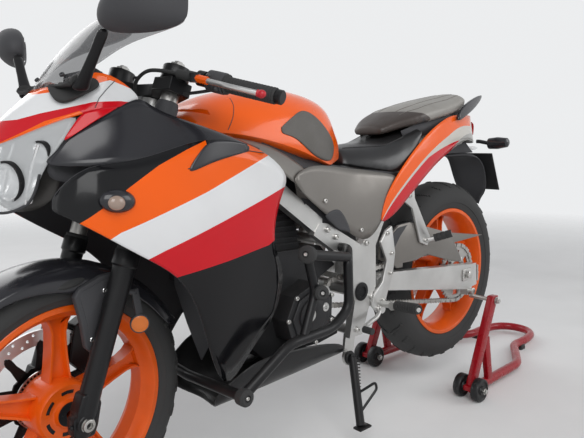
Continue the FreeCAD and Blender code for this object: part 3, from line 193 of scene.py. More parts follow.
class Wiring:
    """A material's node tree, with short ways to add and join its nodes."""

    def __init__(self, name: str) -> None:
        """Start a material that holds one Principled shader."""
        self.material = bpy.data.materials.new(name)
        self.material.use_nodes = True
        self.tree = self.material.node_tree
        self.shader = self.tree.nodes["Principled BSDF"]
        coordinates = self.add("ShaderNodeTexCoord")
        self.place = coordinates.outputs["Object"]
        self.surface = coordinates.outputs["UV"]

    def add(self, kind: str, **settings: object) -> bpy.types.Node:
        """Add a node and set its own properties."""
        node = self.tree.nodes.new(kind)
        for name, value in settings.items():
            setattr(node, name, value)
        return node

    def feed(self, target: bpy.types.NodeSocket, value: object) -> None:
        """Join a socket to a target, or write a plain value on it."""
        if isinstance(value, bpy.types.NodeSocket):
            self.tree.links.new(value, target)
        else:
            target.default_value = value

    def calc(self, operation: str, first: object, second: object = 0.0) -> bpy.types.NodeSocket:
        """Return the result of one Math node."""
        node = self.add("ShaderNodeMath", operation=operation)
        self.feed(node.inputs[0], first)
        self.feed(node.inputs[1], second)
        return node.outputs[0]

    def spread(self, value: object, low: float, high: float, to_low: float, to_high: float) -> bpy.types.NodeSocket:
        """Return a value carried from one range to another, clamped."""
        node = self.add("ShaderNodeMapRange")
        for target, number in zip(node.inputs, (value, low, high, to_low, to_high)):
            self.feed(target, number)
        return node.outputs[0]

    def noise(self, scale: float, detail: float = 3.0, stretch: Point = (1, 1, 1)) -> bpy.types.NodeSocket:
        """Return a noise on the object's own coordinates, stretched along its axes."""
        mapping = self.add("ShaderNodeMapping")
        self.feed(mapping.inputs["Vector"], self.place)
        mapping.inputs["Scale"].default_value = stretch
        node = self.add("ShaderNodeTexNoise")
        self.feed(node.inputs["Vector"], mapping.outputs[0])
        node.inputs["Scale"].default_value = scale
        node.inputs["Detail"].default_value = detail
        return node.outputs["Fac"]

    def cells(self, scale: float) -> bpy.types.NodeSocket:
        """Return the distance to the nearest of many small cells."""
        node = self.add("ShaderNodeTexVoronoi")
        self.feed(node.inputs["Vector"], self.place)
        node.inputs["Scale"].default_value = scale
        return node.outputs["Distance"]

    def mix(self, share: object, first: object, second: object) -> bpy.types.NodeSocket:
        """Return the second colour laid over the first by a share."""
        node = self.add("ShaderNodeMix", data_type="RGBA")
        for name, value in (("Factor", share), ("A", first), ("B", second)):
            socket = next(s for s in node.inputs if s.name == name and s.enabled)
            self.feed(socket, (*value, 1.0) if isinstance(value, tuple) else value)
        return next(s for s in node.outputs if s.enabled)

    def bump(self, height: bpy.types.NodeSocket, strength: float, distance: float) -> None:
        """Give the shader a relief, over any that it has already."""
        node = self.add("ShaderNodeBump")
        node.inputs["Strength"].default_value = strength
        node.inputs["Distance"].default_value = distance
        self.feed(node.inputs["Height"], height)
        under = self.shader.inputs["Normal"]
        if under.is_linked:
            self.feed(node.inputs["Normal"], under.links[0].from_socket)
        self.feed(under, node.outputs[0])


@dataclass(frozen=True)
class Band:
    """A colour that covers all that lies below a line of straight runs.

    Attributes:
        colour: the paint's colour.
        line: the line's corners from front to back, as x and z in millimetres or as shares of the surface.
    """

    colour: Colour
    line: tuple[tuple[float, float], ...]


@dataclass(frozen=True)
class Finish:
    """How a surface is coloured, how it shines and how rough it is to the touch.

    Attributes:
        name: the material's name.
        slot: the record's material slot that it belongs to; it is not used.
        colour: plain colour.
        roughness, metallic, coat: as on the shader, with a clear coat from 0 to 1.
        grain: cells of fine relief in each metre.
        relief: depth of that relief in millimetres.
        mottle: share by which the colour drifts over a hand's width.
        dust: share of pale dust on what faces upwards.
        wear: share of bare, paler spots.
        shine: the shader's specular level.
    """

    name: str
    slot: str
    colour: Colour
    roughness: float = 0.4
    metallic: float = 0.0
    coat: float = 0.0
    grain: float = 700.0
    relief: float = 0.05
    mottle: float = 0.08
    dust: float = 0.0
    wear: float = 0.0
    shine: float = 0.5

    def paint(self, wiring: Wiring) -> object:
        """Return the surface's base colour before dust and wear."""
        return self.colour

    def material(self) -> bpy.types.Material:
        """Return the finish as a material, made once."""
        known = bpy.data.materials.get(self.name)
        if known is not None:
            return known
        wiring = Wiring(self.name)
        shader = wiring.shader
        drift = wiring.noise(9.0, 4.0)
        base = self.paint(wiring)
        darker = wiring.mix(wiring.spread(drift, 0.3, 0.7, self.mottle, 0.0), base, (0.0, 0.0, 0.0))
        if self.wear:
            spots = wiring.spread(wiring.noise(160.0, 6.0), 0.62, 0.68, 0.0, self.wear)
            darker = wiring.mix(spots, darker, (0.55, 0.53, 0.5))
        if self.dust:
            facing = wiring.add("ShaderNodeNewGeometry").outputs["Normal"]
            up = wiring.add("ShaderNodeSeparateXYZ")
            wiring.feed(up.inputs[0], facing)
            lying = wiring.spread(up.outputs[2], 0.1, 0.95, 0.0, self.dust)
            share = wiring.calc("MULTIPLY", lying, wiring.spread(wiring.noise(30.0, 5.0), 0.3, 0.7, 0.3, 1.0))
            darker = wiring.mix(share, darker, (0.42, 0.39, 0.35))
        wiring.feed(shader.inputs["Base Color"], darker)
        smear = wiring.noise(22.0, 5.0)
        low, high = max(self.roughness - 0.06, 0.02), min(self.roughness + 0.08, 1.0)
        wiring.feed(shader.inputs["Roughness"], wiring.spread(smear, 0.3, 0.7, low, high))
        shader.inputs["Metallic"].default_value = self.metallic
        shader.inputs["Specular IOR Level"].default_value = self.shine
        shader.inputs["Coat Weight"].default_value = self.coat
        shader.inputs["Coat Roughness"].default_value = 0.06
        if self.relief:
            wiring.bump(self.height(wiring), 0.6, self.relief / 1000)
        return wiring.material

    def height(self, wiring: Wiring) -> bpy.types.NodeSocket:
        """Return the height of the fine relief."""
        return wiring.noise(self.grain, 3.0)


@dataclass(frozen=True)
class Livery(Finish):
    """A paint with straight-edged bands, each laid over those before it."""

    bands: tuple[Band, ...] = ()
    space: Space = Space.OBJECT

    def paint(self, wiring: Wiring) -> object:
        """Return the colour of the bands."""
        place = wiring.add("ShaderNodeSeparateXYZ")
        wiring.feed(place.inputs[0], wiring.place if self.space is Space.OBJECT else wiring.surface)
        colour: object = self.colour
        for band in self.bands:
            line = band.line
            up = place.outputs[1]
            if self.space is Space.OBJECT:
                line = [((x - MIDDLE) / 1000, z / 1000) for x, z in band.line]
                up = place.outputs[2]
            edge: object = line[0][1]
            for (x0, z0), (x1, z1) in zip(line, line[1:]):
                edge = wiring.calc("ADD", edge, wiring.spread(place.outputs[0], x0, x1, 0.0, z1 - z0))
            colour = wiring.mix(wiring.calc("LESS_THAN", up, edge), colour, band.colour)
        return colour


@dataclass(frozen=True)
class Grained(Finish):
    """A moulded or sewn skin with a pebbled grain."""

    def height(self, wiring: Wiring) -> bpy.types.NodeSocket:
        """Return pebbles with fine noise over them."""
        return wiring.calc("ADD", wiring.cells(self.grain), wiring.noise(self.grain * 2, 2.0))


@dataclass(frozen=True)
class Brushed(Finish):
    """A metal drawn along x, with fine lines."""

    def height(self, wiring: Wiring) -> bpy.types.NodeSocket:
        """Return lines that run along x."""
        return wiring.noise(self.grain, 2.0, (0.04, 1.0, 1.0))


@dataclass(frozen=True)
class Clear(Finish):
    """A clear or smoked plastic that shows what is behind it."""

    cover: float = 0.35
    rim: float = 0.9

    def material(self) -> bpy.types.Material:
        """Return the see-through material, made once."""
        known = bpy.data.materials.get(self.name)
        if known is not None:
            return known
        wiring = Wiring(self.name)
        shader = wiring.shader
        haze = wiring.spread(wiring.noise(14.0, 5.0), 0.3, 0.7, 0.92, 1.0)
        wiring.feed(shader.inputs["Base Color"], wiring.mix(haze, (1.0, 1.0, 1.0), self.colour))
        shader.inputs["Roughness"].default_value = self.roughness
        shader.inputs["IOR"].default_value = 1.45
        shader.inputs["Coat Weight"].default_value = self.coat
        shader.inputs["Specular IOR Level"].default_value = self.shine
        rim = wiring.add("ShaderNodeLayerWeight")
        rim.inputs["Blend"].default_value = 0.25
        wiring.feed(shader.inputs["Alpha"], wiring.spread(rim.outputs["Facing"], 0.0, 1.0, self.cover, self.rim))
        wiring.bump(wiring.noise(60.0, 2.0), 0.1, 0.0002)
        return wiring.material


ORANGE: Colour = (0.90, 0.118, 0.004)
WHITE: Colour = (0.76, 0.765, 0.77)
RED: Colour = (0.60, 0.006, 0.014)
BLACK: Colour = (0.006, 0.006, 0.007)


class Finishes:
    """Every finish of the motorcycle, by the part it was made for."""

    TYRE = Finish("tyre_rubber", "tyre_rubber", (0.012, 0.012, 0.013), 0.78, grain=1500, relief=0.15,
                  mottle=0.25, dust=0.04, shine=0.15)
    WHEEL = Finish("wheel_paint", "orange_wheel", (0.84, 0.115, 0.004), 0.36, coat=0.15, grain=1200, relief=0.03,
                   mottle=0.22, dust=0.02, shine=0.3)
    DISC = Brushed("disc_steel", "disc_steel", (0.52, 0.51, 0.50), 0.32, metallic=0.95, relief=0.05, mottle=0.2)
    CARRIER = Finish("carrier_black", "black_metal", (0.014, 0.014, 0.015), 0.5, metallic=0.2, wear=0.05, shine=0.2)
    CHAIN = Finish("chain_steel", "chain_steel", (0.055, 0.040, 0.028), 0.5, metallic=0.1, mottle=0.5,
                   shine=0.2)
    BLACK_METAL = Finish("black_coat", "black_metal", (0.010, 0.010, 0.011), 0.36, coat=0.05, mottle=0.15, dust=0.02,
                         shine=0.25)
    ALLOY = Finish("cast_alloy", "silver_alloy", (0.62, 0.615, 0.60), 0.34, metallic=0.85, grain=1400, relief=0.08,
                   mottle=0.2)
    ALLOY_BRIGHT = Finish("bright_alloy", "silver_alloy", (0.70, 0.70, 0.70), 0.2, metallic=0.95, relief=0.02)
    ENGINE = Finish("engine_cast", "engine_alloy", (0.035, 0.035, 0.037), 0.5, metallic=0.4, grain=900, relief=0.25,
                    mottle=0.2, dust=0.05, shine=0.4)
    GLOSS_BLACK = Finish("gloss_black", "gloss_black", BLACK, 0.10, coat=0.4, relief=0.0, mottle=0.0, shine=0.25)
    MATT_BLACK = Grained("matt_black", "matt_black", (0.012, 0.012, 0.013), 0.6, grain=1800, relief=0.10, dust=0.01,
                        shine=0.12)
    BELLY = Finish("belly_grey", "matt_black", (0.018, 0.018, 0.019), 0.36, coat=0.05, relief=0.02, dust=0.05,
                   shine=0.25)
    PLASTIC_GREY = Finish("plain_grey", "grey_panel", (0.05, 0.05, 0.053), 0.42, grain=1800, relief=0.08, shine=0.4)
    SILVER = Finish("silver_panel", "grey_panel", (0.20, 0.186, 0.170), 0.34, metallic=0.5, relief=0.02)
    RED_PAINT = Finish("red_paint", "orange_panel", RED, 0.16, coat=0.2, relief=0.0, mottle=0.04, shine=0.25)
    TANK = Finish("tank_paint", "orange_tank", ORANGE, 0.2, coat=0.2, relief=0.0, mottle=0.06, shine=0.25)
    VINYL = Grained("seat_vinyl", "black_vinyl", (0.008, 0.008, 0.009), 0.36, coat=0.1, grain=700, relief=0.06,
                    mottle=0.1, dust=0.02, shine=0.6)
    # Black vinyl painted pale grey: a painted sheen for the ribs on the pillion's top.
    VINYL_PAINTED_SHEEN = Grained("seat_vinyl_painted_sheen", "black_vinyl", (0.17, 0.155, 0.14), 0.50, grain=600, relief=0.3,
                         mottle=0.15)
    RUBBER = Grained("grip_rubber", "grip_rubber", (0.012, 0.012, 0.013), 0.65, grain=1600, relief=0.2, shine=0.2)
    ROLLER = Finish("roller_black", "black_roller", (0.010, 0.010, 0.011), 0.45, relief=0.05, wear=0.08, shine=0.4)
    RED_FRAME = Finish("stand_red", "red_frame", (0.30, 0.003, 0.009), 0.28, coat=0.15, relief=0.03, mottle=0.06,
                       shine=0.3)
    EXHAUST = Brushed("exhaust_steel", "exhaust_steel", (0.42, 0.41, 0.40), 0.3, metallic=0.9, mottle=0.3)
    SMOKE = Clear("smoke_screen", "smoke_screen", (0.060, 0.040, 0.032), 0.05, cover=0.74, shine=0.08)
    LENS = Clear("clear_lens", "clear_lens", (0.42, 0.39, 0.36), 0.03, coat=0.05, cover=0.04, rim=0.12, shine=0.25)
    MIRROR = Finish("mirror_face", "black_metal", (0.85, 0.86, 0.87), 0.02, metallic=1.0, relief=0.0, mottle=0.0)
    REFLECTOR = Finish("lamp_bowl", "clear_lens", (0.80, 0.80, 0.80), 0.10, metallic=1.0, grain=60, relief=0.6,
                       mottle=0.2)
    BOWL = Finish("lamp_housing", "clear_lens", (0.07, 0.066, 0.062), 0.35, metallic=0.2, grain=40, relief=0.8,
                  mottle=0.5, shine=0.3)
    AMBER = Finish("amber_lens", "signal_lens", (0.72, 0.17, 0.01), 0.2, coat=0.3, grain=300, relief=0.3)
    SIGNAL = Finish("pale_lens", "signal_lens", (0.34, 0.25, 0.20), 0.15, coat=0.4, grain=300, relief=0.3)
    RED_LENS = Finish("red_lens", "signal_lens", (0.55, 0.02, 0.02), 0.12, coat=1.0, grain=300, relief=0.3)
    LEVER_TIP = Finish("lever_tip_red", "red_frame", (0.50, 0.01, 0.02), 0.35, relief=0.0)
    ZINC = Finish("zinc_bolt", "silver_alloy", (0.58, 0.57, 0.55), 0.3, metallic=0.9, relief=0.02)
    KNEE_PAD = Grained("knee_pad", "matt_black", (0.10, 0.092, 0.082), 0.5, grain=420, relief=0.6, mottle=0.2)
    SPRING = Finish("spring_black", "black_metal", (0.02, 0.02, 0.021), 0.4, coat=0.3)
    # Black vinyl with a painted sheen: its top is painted pale grey for the bright room's reflection on it; the two
    # darker bands lower down are nearer its own black.
    PILLION_PAINTED_SHEEN = Livery(
        "pillion_vinyl_painted_sheen", "black_vinyl", (0.30, 0.285, 0.26), 0.42, grain=600, relief=0.2, mottle=0.12, bands=(
            Band((0.055, 0.042, 0.036), ((880, 900), (990, 936), (1060, 938), (1120, 930), (1158, 915), (1160, 800),
                                         (1500, 800))),
            Band((0.02, 0.02, 0.021), ((900, 800), (1118, 800), (1119, 915), (1160, 900), (1162, 800), (1500, 800)))))
    TAIL = Livery(
        "tail_paint", "orange_panel", ORANGE, 0.2, coat=0.2, relief=0.0, mottle=0.05, shine=0.25, bands=(
            Band((0.60, 0.57, 0.52), ((-0.1, 0.60), (0.30, 0.46), (0.42, 0.60), (0.445, 1.1), (0.555, 1.1),
                                      (0.58, 0.60), (0.70, 0.46), (1.1, 0.60))),
            Band(RED, ((-0.1, 0.52), (0.22, 0.40), (0.36, 0.06), (0.40, -0.1), (0.60, -0.1), (0.64, 0.06),
                       (0.78, 0.40), (1.1, 0.52))),
            Band((0.36, 0.35, 0.33), ((-0.1, -0.05), (0.28, -0.05), (0.42, 0.34), (0.58, 0.34), (0.72, -0.05),
                                      (1.1, -0.05)))),
        space=Space.SURFACE)
    PLATE = Finish("blank_plate", "matt_black", (0.016, 0.016, 0.017), 0.5, grain=500, relief=0.4, shine=0.4)


class Build:
    """A mesh in the making. Its methods add shapes, and piece() turns the whole into an object."""

    def __init__(self) -> None:
        """Start an empty mesh."""
        self.bm = bmesh.new()

    def chain(self, points: Iterable[Vector], closed: bool = False) -> list[bmesh.types.BMEdge]:
        """Add a line of edges through points.

        Args:
            points: points in metres.
            closed: whether the last point joins the first.

        Returns:
            The new edges, in order.
        """
        verts = [self.bm.verts.new(point) for point in points]
        pairs = list(zip(verts, verts[1:]))
        if closed:
            pairs.append((verts[-1], verts[0]))
        return [self.bm.edges.new(pair) for pair in pairs]

    def bridge(self, chains: Sequence[list[bmesh.types.BMEdge]]) -> list[bmesh.types.BMFace]:
        """Join each line of edges to the next and return the new faces."""
        faces: list[bmesh.types.BMFace] = []
        for first, second in zip(chains, chains[1:]):
            faces += bmesh.ops.bridge_loops(self.bm, edges=first + second)["faces"]
        return faces

    def panel(self, rows: Sequence[Row]) -> list[bmesh.types.BMFace]:
        """Add a skin through rows of points, with its surface map from 0 to 1 along and across.

        Args:
            rows: rows with equally many points, in millimetres.

        Returns:
            The skin's faces.
        """
        layer = self.bm.loops.layers.uv.verify()
        chains = [self.chain(spot(point) for point in row) for row in rows]
        shares = {}
        for level, edges in enumerate(chains):
            verts = [edges[0].verts[0]] + [edge.verts[1] for edge in edges]
            for index, vert in enumerate(verts):
                shares[vert] = (index / (len(verts) - 1), level / (len(rows) - 1))
        faces = self.bridge(chains)
        for face in faces:
            for loop in face.loops:
                loop[layer].uv = shares[loop.vert]
        return faces

    def loft(self, rings: Sequence[Row], ends: bool = True) -> list[bmesh.types.BMFace]:
        """Add a closed form through rings of points in millimetres and return its faces."""
        chains = [self.chain((spot(point) for point in ring), True) for ring in rings]
        faces = self.bridge(chains)
        if ends:
            for edges in (chains[0], chains[-1]):
                faces += bmesh.ops.edgeloop_fill(self.bm, edges=edges)["faces"]
        return faces

    def lathe(self, profile: Sequence[tuple[float, float]], centre: Point, axis: Point = (0, 1, 0),
              steps: int = 64, closed: bool = True, sweep: float = math.tau) -> list[bmesh.types.BMFace]:
        """Spin a profile round an axis.

        Args:
            profile: distance along the axis and radius of each point, in millimetres.
            centre: where the axis distance is 0.
            axis: direction of the axis.
            steps: number of flats.
            closed: whether the profile's last point joins its first.
            sweep: angle that the profile goes through.

        Returns:
            The new faces.
        """
        way = Vector(axis).normalized()
        out = way.orthogonal().normalized()
        middle = spot(centre)
        points = [middle + way * along / 1000 + out * radius / 1000 for along, radius in profile]
        edges = self.chain(points, closed)
        verts = list({vert for edge in edges for vert in edge.verts})
        before = set(self.bm.faces)
        bmesh.ops.spin(self.bm, geom=verts + edges, cent=middle, axis=way, angle=sweep, steps=steps,
                       use_merge=abs(sweep - math.tau) < 1e-6, use_duplicate=False)
        return [face for face in self.bm.faces if face not in before]

    def disc(self, centre: Point, axis: Point, radius: float, depth: float, steps: int = 32,
             edge: float = 0.0) -> None:
        """Add a round plug from a centre along an axis, with its far edge bevelled."""
        far = [(depth - edge, radius), (depth, radius - edge)] if edge else [(depth, radius)]
        self.lathe([(0.0, 0.0001), (0.0, radius), *far, (depth, 0.0001)], centre, axis, steps, closed=False)

    def plate(self, outline: Sequence[Point], depth: Point, bevel: float = 0.0, segments: int = 2) -> None:
        """Add a flat plate.

        Args:
            outline: corners of one face, in millimetres.
            depth: the plate's thickness as a direction with a length, in millimetres.
            bevel: width of its rounded edges, in millimetres.
            segments: flats across each rounded edge.
        """
        face = self.bm.faces.new([self.bm.verts.new(spot(point)) for point in outline])
        grown = bmesh.ops.extrude_face_region(self.bm, geom=[face])["geom"]
        verts = [item for item in grown if isinstance(item, bmesh.types.BMVert)]
        bmesh.ops.translate(self.bm, vec=Vector(depth) / 1000, verts=verts)
        faces = {f for v in verts for f in v.link_faces} | {face}
        bmesh.ops.recalc_face_normals(self.bm, faces=list(faces))
        if bevel:
            edges = list({edge for f in faces for edge in f.edges})
            self.round_edges(edges, bevel, segments)

    def round_edges(self, edges: list[bmesh.types.BMEdge], width: float, segments: int = 2) -> None:
        """Round edges by a width in millimetres."""
        bmesh.ops.bevel(self.bm, geom=edges, offset=width / 1000, offset_type="OFFSET", segments=segments,
                        profile=0.5, affect="EDGES", clamp_overlap=True, material=-1)

    def slab(self, outline: Sequence[tuple[float, float]], low: float, high: float, bevel: float = 0.0,
             segments: int = 2) -> None:
        """Add a plate whose outline is given as x and z, from one y to another."""
        low, high = sorted((low, high))
        self.plate([(x, low, z) for x, z in outline], (0, high - low, 0), bevel, segments)

    def tube(self, points: Sequence[Point], radius: float, bend: float = 0.0, sides: int = 16,
             soft: bool = False) -> None:
        """Add a tube along points.

        Args:
            points: corners of its middle line, in millimetres.
            radius: outer radius in millimetres.
            bend: radius of the rounding at each corner, in millimetres.
            sides: number of flats round it.
            soft: whether it follows one smooth curve, as a cable does.
        """
        curve = bpy.data.curves.new("line", "CURVE")
        curve.dimensions = "3D"
        curve.bevel_depth = radius / 1000
        curve.bevel_resolution = max(sides // 4 - 1, 1)
        curve.use_fill_caps = True
        line = [Vector(point) for point in points]
        if bend:
            line = self.eased(line, bend)
        spline = curve.splines.new("NURBS" if soft else "POLY")
        spline.points.add(len(line) - 1)
        for target, point in zip(spline.points, line):
            target.co = (*spot(point), 1.0)
        if soft:
            spline.order_u = 3
            spline.use_endpoint_u = True
            spline.resolution_u = 8
        carrier = bpy.data.objects.new("line", curve)
        mesh = bpy.data.meshes.new_from_object(carrier)
        self.bm.from_mesh(mesh)
        bpy.data.objects.remove(carrier)
        bpy.data.curves.remove(curve)
        bpy.data.meshes.remove(mesh)

    @staticmethod
    def eased(line: list[Vector], bend: float, steps: int = 6) -> list[Vector]:
        """Round the corners of a line.

        Args:
            line: corners.
            bend: how far from a corner its rounding starts.
            steps: points on each rounding.

        Returns:
            The rounded line.
        """
        eased = [line[0]]
        for before, corner, after in zip(line, line[1:], line[2:]):
            start = corner + (before - corner).normalized() * min(bend, (before - corner).length * 0.49)
            end = corner + (after - corner).normalized() * min(bend, (after - corner).length * 0.49)
            for step in range(steps + 1):
                t = step / steps
                eased.append(start * (1 - t) ** 2 + corner * 2 * t * (1 - t) + end * t * t)
        eased.append(line[-1])
        return eased

    def ball(self, centre: Point, radii: Point, turn: Optional[Matrix] = None, segments: int = 24) -> None:
        """Add a stretched ball at a point in millimetres, turned first where a turn is given."""
        shape = Matrix.Diagonal((*(Vector(radii) / 1000), 1.0))
        place = Matrix.Translation(spot(centre)) @ (turn or Matrix.Identity(4)) @ shape
        bmesh.ops.create_uvsphere(self.bm, u_segments=segments, v_segments=segments // 2, radius=1.0, matrix=place)

    def bolt(self, place: Point, way: Point, size: float = 6.0, socket: bool = True) -> None:
        """Add a bolt head.

        Args:
            place: middle of the face that it sits on, in millimetres.
            way: the direction that it faces.
            size: the head's radius.
            socket: whether the head is round with a socket, or else a hexagon on a flange.
        """
        if socket:
            self.lathe([(0, size), (size * 0.8, size), (size, size * 0.82), (size, size * 0.5),
                        (size * 0.5, size * 0.48), (size * 0.5, 0.0001)], place, way, 16, closed=False)
        else:
            self.lathe([(0, size * 1.3), (1.2, size * 1.3), (1.2, size)], place, way, 16, closed=False)
            self.lathe([(1.2, size), (size * 0.9, size), (size, size * 0.85), (size, 0.0001)], place, way, 6,
                       closed=False)

    def crease(self, least: float, weight: float, below: float = math.inf) -> None:
        """Crease sharp edges, so that subdivision keeps them.

        Args:
            least: least angle of such an edge, in degrees.
            weight: how much of it is kept, from 0 to 1.
            below: height in millimetres that its ends lie under.
        """
        layer = self.bm.edges.layers.float.new("crease_edge")
        for edge in self.bm.edges:
            top = max(vert.co.z for vert in edge.verts) * 1000
            if top < below and edge.calc_face_angle(0.0) > math.radians(least):
                edge[layer] = weight

    def copy_node(self, node: str) -> None:
        """Add a copy of a CAD node, with its loose triangles joined."""
        self.bm.from_mesh(frame["nodes"][node].data)
        bmesh.ops.remove_doubles(self.bm, verts=self.bm.verts, dist=1e-5)
        flat = math.radians(1.0)
        bmesh.ops.dissolve_limit(self.bm, angle_limit=flat, verts=self.bm.verts, edges=self.bm.edges)

    def piece(self, name: str, finish: Finish, body: Body = Body.CHASSIS, *, replaces: Sequence[str] = (),
              steered: bool = False, wall: float = 0.0, smooth: int = 0, round_by: float = 0.0,
              round_from: float = 30.0, outward: bool = True) -> bpy.types.Object:
        """Turn the mesh into an object that rides on a body.

        Args:
            name: the piece's name.
            finish: what it is covered with.
            body: the body that carries it.
            replaces: CAD nodes that it stands for.
            steered: whether it is drawn with the bars straight.
            wall: thickness in millimetres given to an open skin, inwards.
            smooth: levels of subdivision.
            round_by: width of rounded edges in millimetres.
            round_from: least angle of an edge that is rounded, in degrees.
            outward: whether the normals are made to point outwards.

        Returns:
            The object.
        """
        if outward:
            bmesh.ops.remove_doubles(self.bm, verts=self.bm.verts, dist=2e-6)
            bmesh.ops.recalc_face_normals(self.bm, faces=self.bm.faces)
        if steered:
            bmesh.ops.transform(self.bm, matrix=STEERED, verts=self.bm.verts)
        for face in self.bm.faces:
            face.smooth = True
        for edge in self.bm.edges:
            edge.smooth = not edge.is_manifold or edge.calc_face_angle(0.0) < SMOOTH_ANGLE
        mesh = bpy.data.meshes.new(name)
        self.bm.to_mesh(mesh)
        self.bm.free()
        item = placed(name, mesh)
        mesh.materials.append(finish.material())
        if smooth:
            for edge in mesh.edges:
                edge.use_edge_sharp = False
            modify(item, "smooth", "SUBSURF", levels=smooth, render_levels=smooth)
        if wall:
            modify(item, "wall", "SOLIDIFY", thickness=wall / 1000, offset=-1.0)
        if round_by:
            modify(item, "rounded", "BEVEL", width=round_by / 1000, segments=2, limit_method="ANGLE",
                   angle_limit=math.radians(round_from), harden_normals=True)
        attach(item, body.value)
        if replaces:
            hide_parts(*replaces)
        LOG.info("%s: %d faces on %s", name, len(mesh.polygons), body.value)
        return item


def sheet(name: str, finish: Finish, *skins: Sequence[Row], body: Body = Body.CHASSIS,
          **settings: object) -> bpy.types.Object:
    """Make a piece out of open skins.

    Args:
        name: the piece's name.
        finish: what it is covered with.
        skins: for each skin its rows of points, in millimetres.
        body: the body that carries it.
        settings: the rest of what Build.piece takes.

    Returns:
        The piece.
    """
    work = Build()
    for rows in skins:
        work.panel(rows)
    return work.piece(name, finish, body, **settings)


def on_steering(work: Build, name: str, finish: Finish, *replaces: str) -> bpy.types.Object:
    """Turn a mesh drawn with the bars straight into a piece of the steering."""
    return work.piece(name, finish, Body.STEERING, replaces=replaces, steered=True)


def refine(node: str, finish: Finish, round_by: float, body: Body = Body.CHASSIS) -> bpy.types.Object:
    """Stand in for a CAD node with a copy whose edges are rounded and whose flats shade as round."""
    work = Build()
    work.copy_node(node)
    return work.piece(node + "_fine", finish, body, replaces=[node], round_by=round_by, round_from=44.0, outward=False)


def baked(item: bpy.types.Object) -> None:
    """Apply all modifiers of an object to its mesh."""
    graph = bpy.context.evaluated_depsgraph_get()
    mesh = bpy.data.meshes.new_from_object(item.evaluated_get(graph), depsgraph=graph)
    spent = item.data
    item.modifiers.clear()
    item.data = mesh
    bpy.data.meshes.remove(spent)


def skin_tree(skin: bpy.types.Object) -> BVHTree:
    """Return a piece's finished surface in a form that rays can be sent at."""
    return BVHTree.FromObject(skin, bpy.context.evaluated_depsgraph_get())


def settle(item: bpy.types.Object, skin: bpy.types.Object, lift: float, wall: float) -> bpy.types.Object:
    """Lay a thin piece on another piece's side.

    Args:
        item: the thin piece, which may reach over both sides.
        skin: what it lies on.
        lift: height of its outer face over the skin, in millimetres.
        wall: its thickness in millimetres.

    Returns:
        The thin piece.
    """
    baked(item)
    tree = skin_tree(skin)
    for vert in item.data.vertices:
        side = math.copysign(1.0, vert.co.y)
        hit = tree.ray_cast(Vector((vert.co.x, side, vert.co.z)), Vector((0, -side, 0)))[0]
        if hit is not None:
            vert.co.y = hit.y + side * lift / 1000
    modify(item, "wall", "SOLIDIFY", thickness=wall / 1000, offset=-1.0)
    return item


def traced(skin: bpy.types.Object, line: Sequence[Point], side: Side, steps: int = 6,
           above: bool = False) -> list[Point]:
    """Return a line's points moved sideways onto a piece, with more points between them.

    Args:
        skin: the piece that the line follows.
        line: its corners in millimetres; their y is not read.
        side: the side that the line is seen from.
        steps: points on each run between two corners.
        above: whether they are moved down onto it instead, with their y kept.

    Returns:
        The points in millimetres.
    """
    tree = skin_tree(skin)
    points = []
    for start, end in zip(line, line[1:]):
        for step in range(steps):
            place = spot(Vector(start).lerp(Vector(end), step / (steps - 1)))
            way = Vector((0, -side.value, 0))
            if above:
                place = Vector((place.x, place.y * side.value, 2.0))
                way = Vector((0, 0, -1))
            else:
                place.y = side.value
            hit = tree.ray_cast(place, way)[0]
            if hit is not None:
                points.append((hit.x * 1000 + MIDDLE, hit.y * 1000, hit.z * 1000))
    return points


def carved(body: Build, cutter: Build) -> Build:
    """Cut one closed mesh out of another.

    Args:
        body: the mesh that is cut; it is used up.
        cutter: the mesh taken away; it is used up.

    Returns:
        A new Build with the result.
    """
    items = []
    for name, work in (("body", body), ("cutter", cutter)):
        bmesh.ops.remove_doubles(work.bm, verts=work.bm.verts, dist=2e-6)
        bmesh.ops.recalc_face_normals(work.bm, faces=work.bm.faces)
        mesh = bpy.data.meshes.new(name)
        work.bm.to_mesh(mesh)
        work.bm.free()
        items.append(placed(name, mesh))
    modify(items[0], "cut", "BOOLEAN", operation="DIFFERENCE", object=items[1], solver="EXACT")
    graph = bpy.context.evaluated_depsgraph_get()
    mesh = bpy.data.meshes.new_from_object(items[0].evaluated_get(graph))
    result = Build()
    result.bm.from_mesh(mesh)
    for item in items:
        spent = item.data
        bpy.data.objects.remove(item)
        bpy.data.meshes.remove(spent)
    bpy.data.meshes.remove(mesh)
    return result


def repeat_round(work: Build, count: int, centre: Point, axis: Point = (0, 1, 0)) -> None:
    """Copy all of a mesh round an axis until there are count of it."""
    start = work.bm.verts[:] + work.bm.edges[:] + work.bm.faces[:]
    for index in range(1, count):
        copied = bmesh.ops.duplicate(work.bm, geom=start)["geom"]
        verts = [item for item in copied if isinstance(item, bmesh.types.BMVert)]
        turn = Matrix.Rotation(math.tau * index / count, 3, Vector(axis))
        bmesh.ops.rotate(work.bm, verts=verts, cent=spot(centre), matrix=turn)


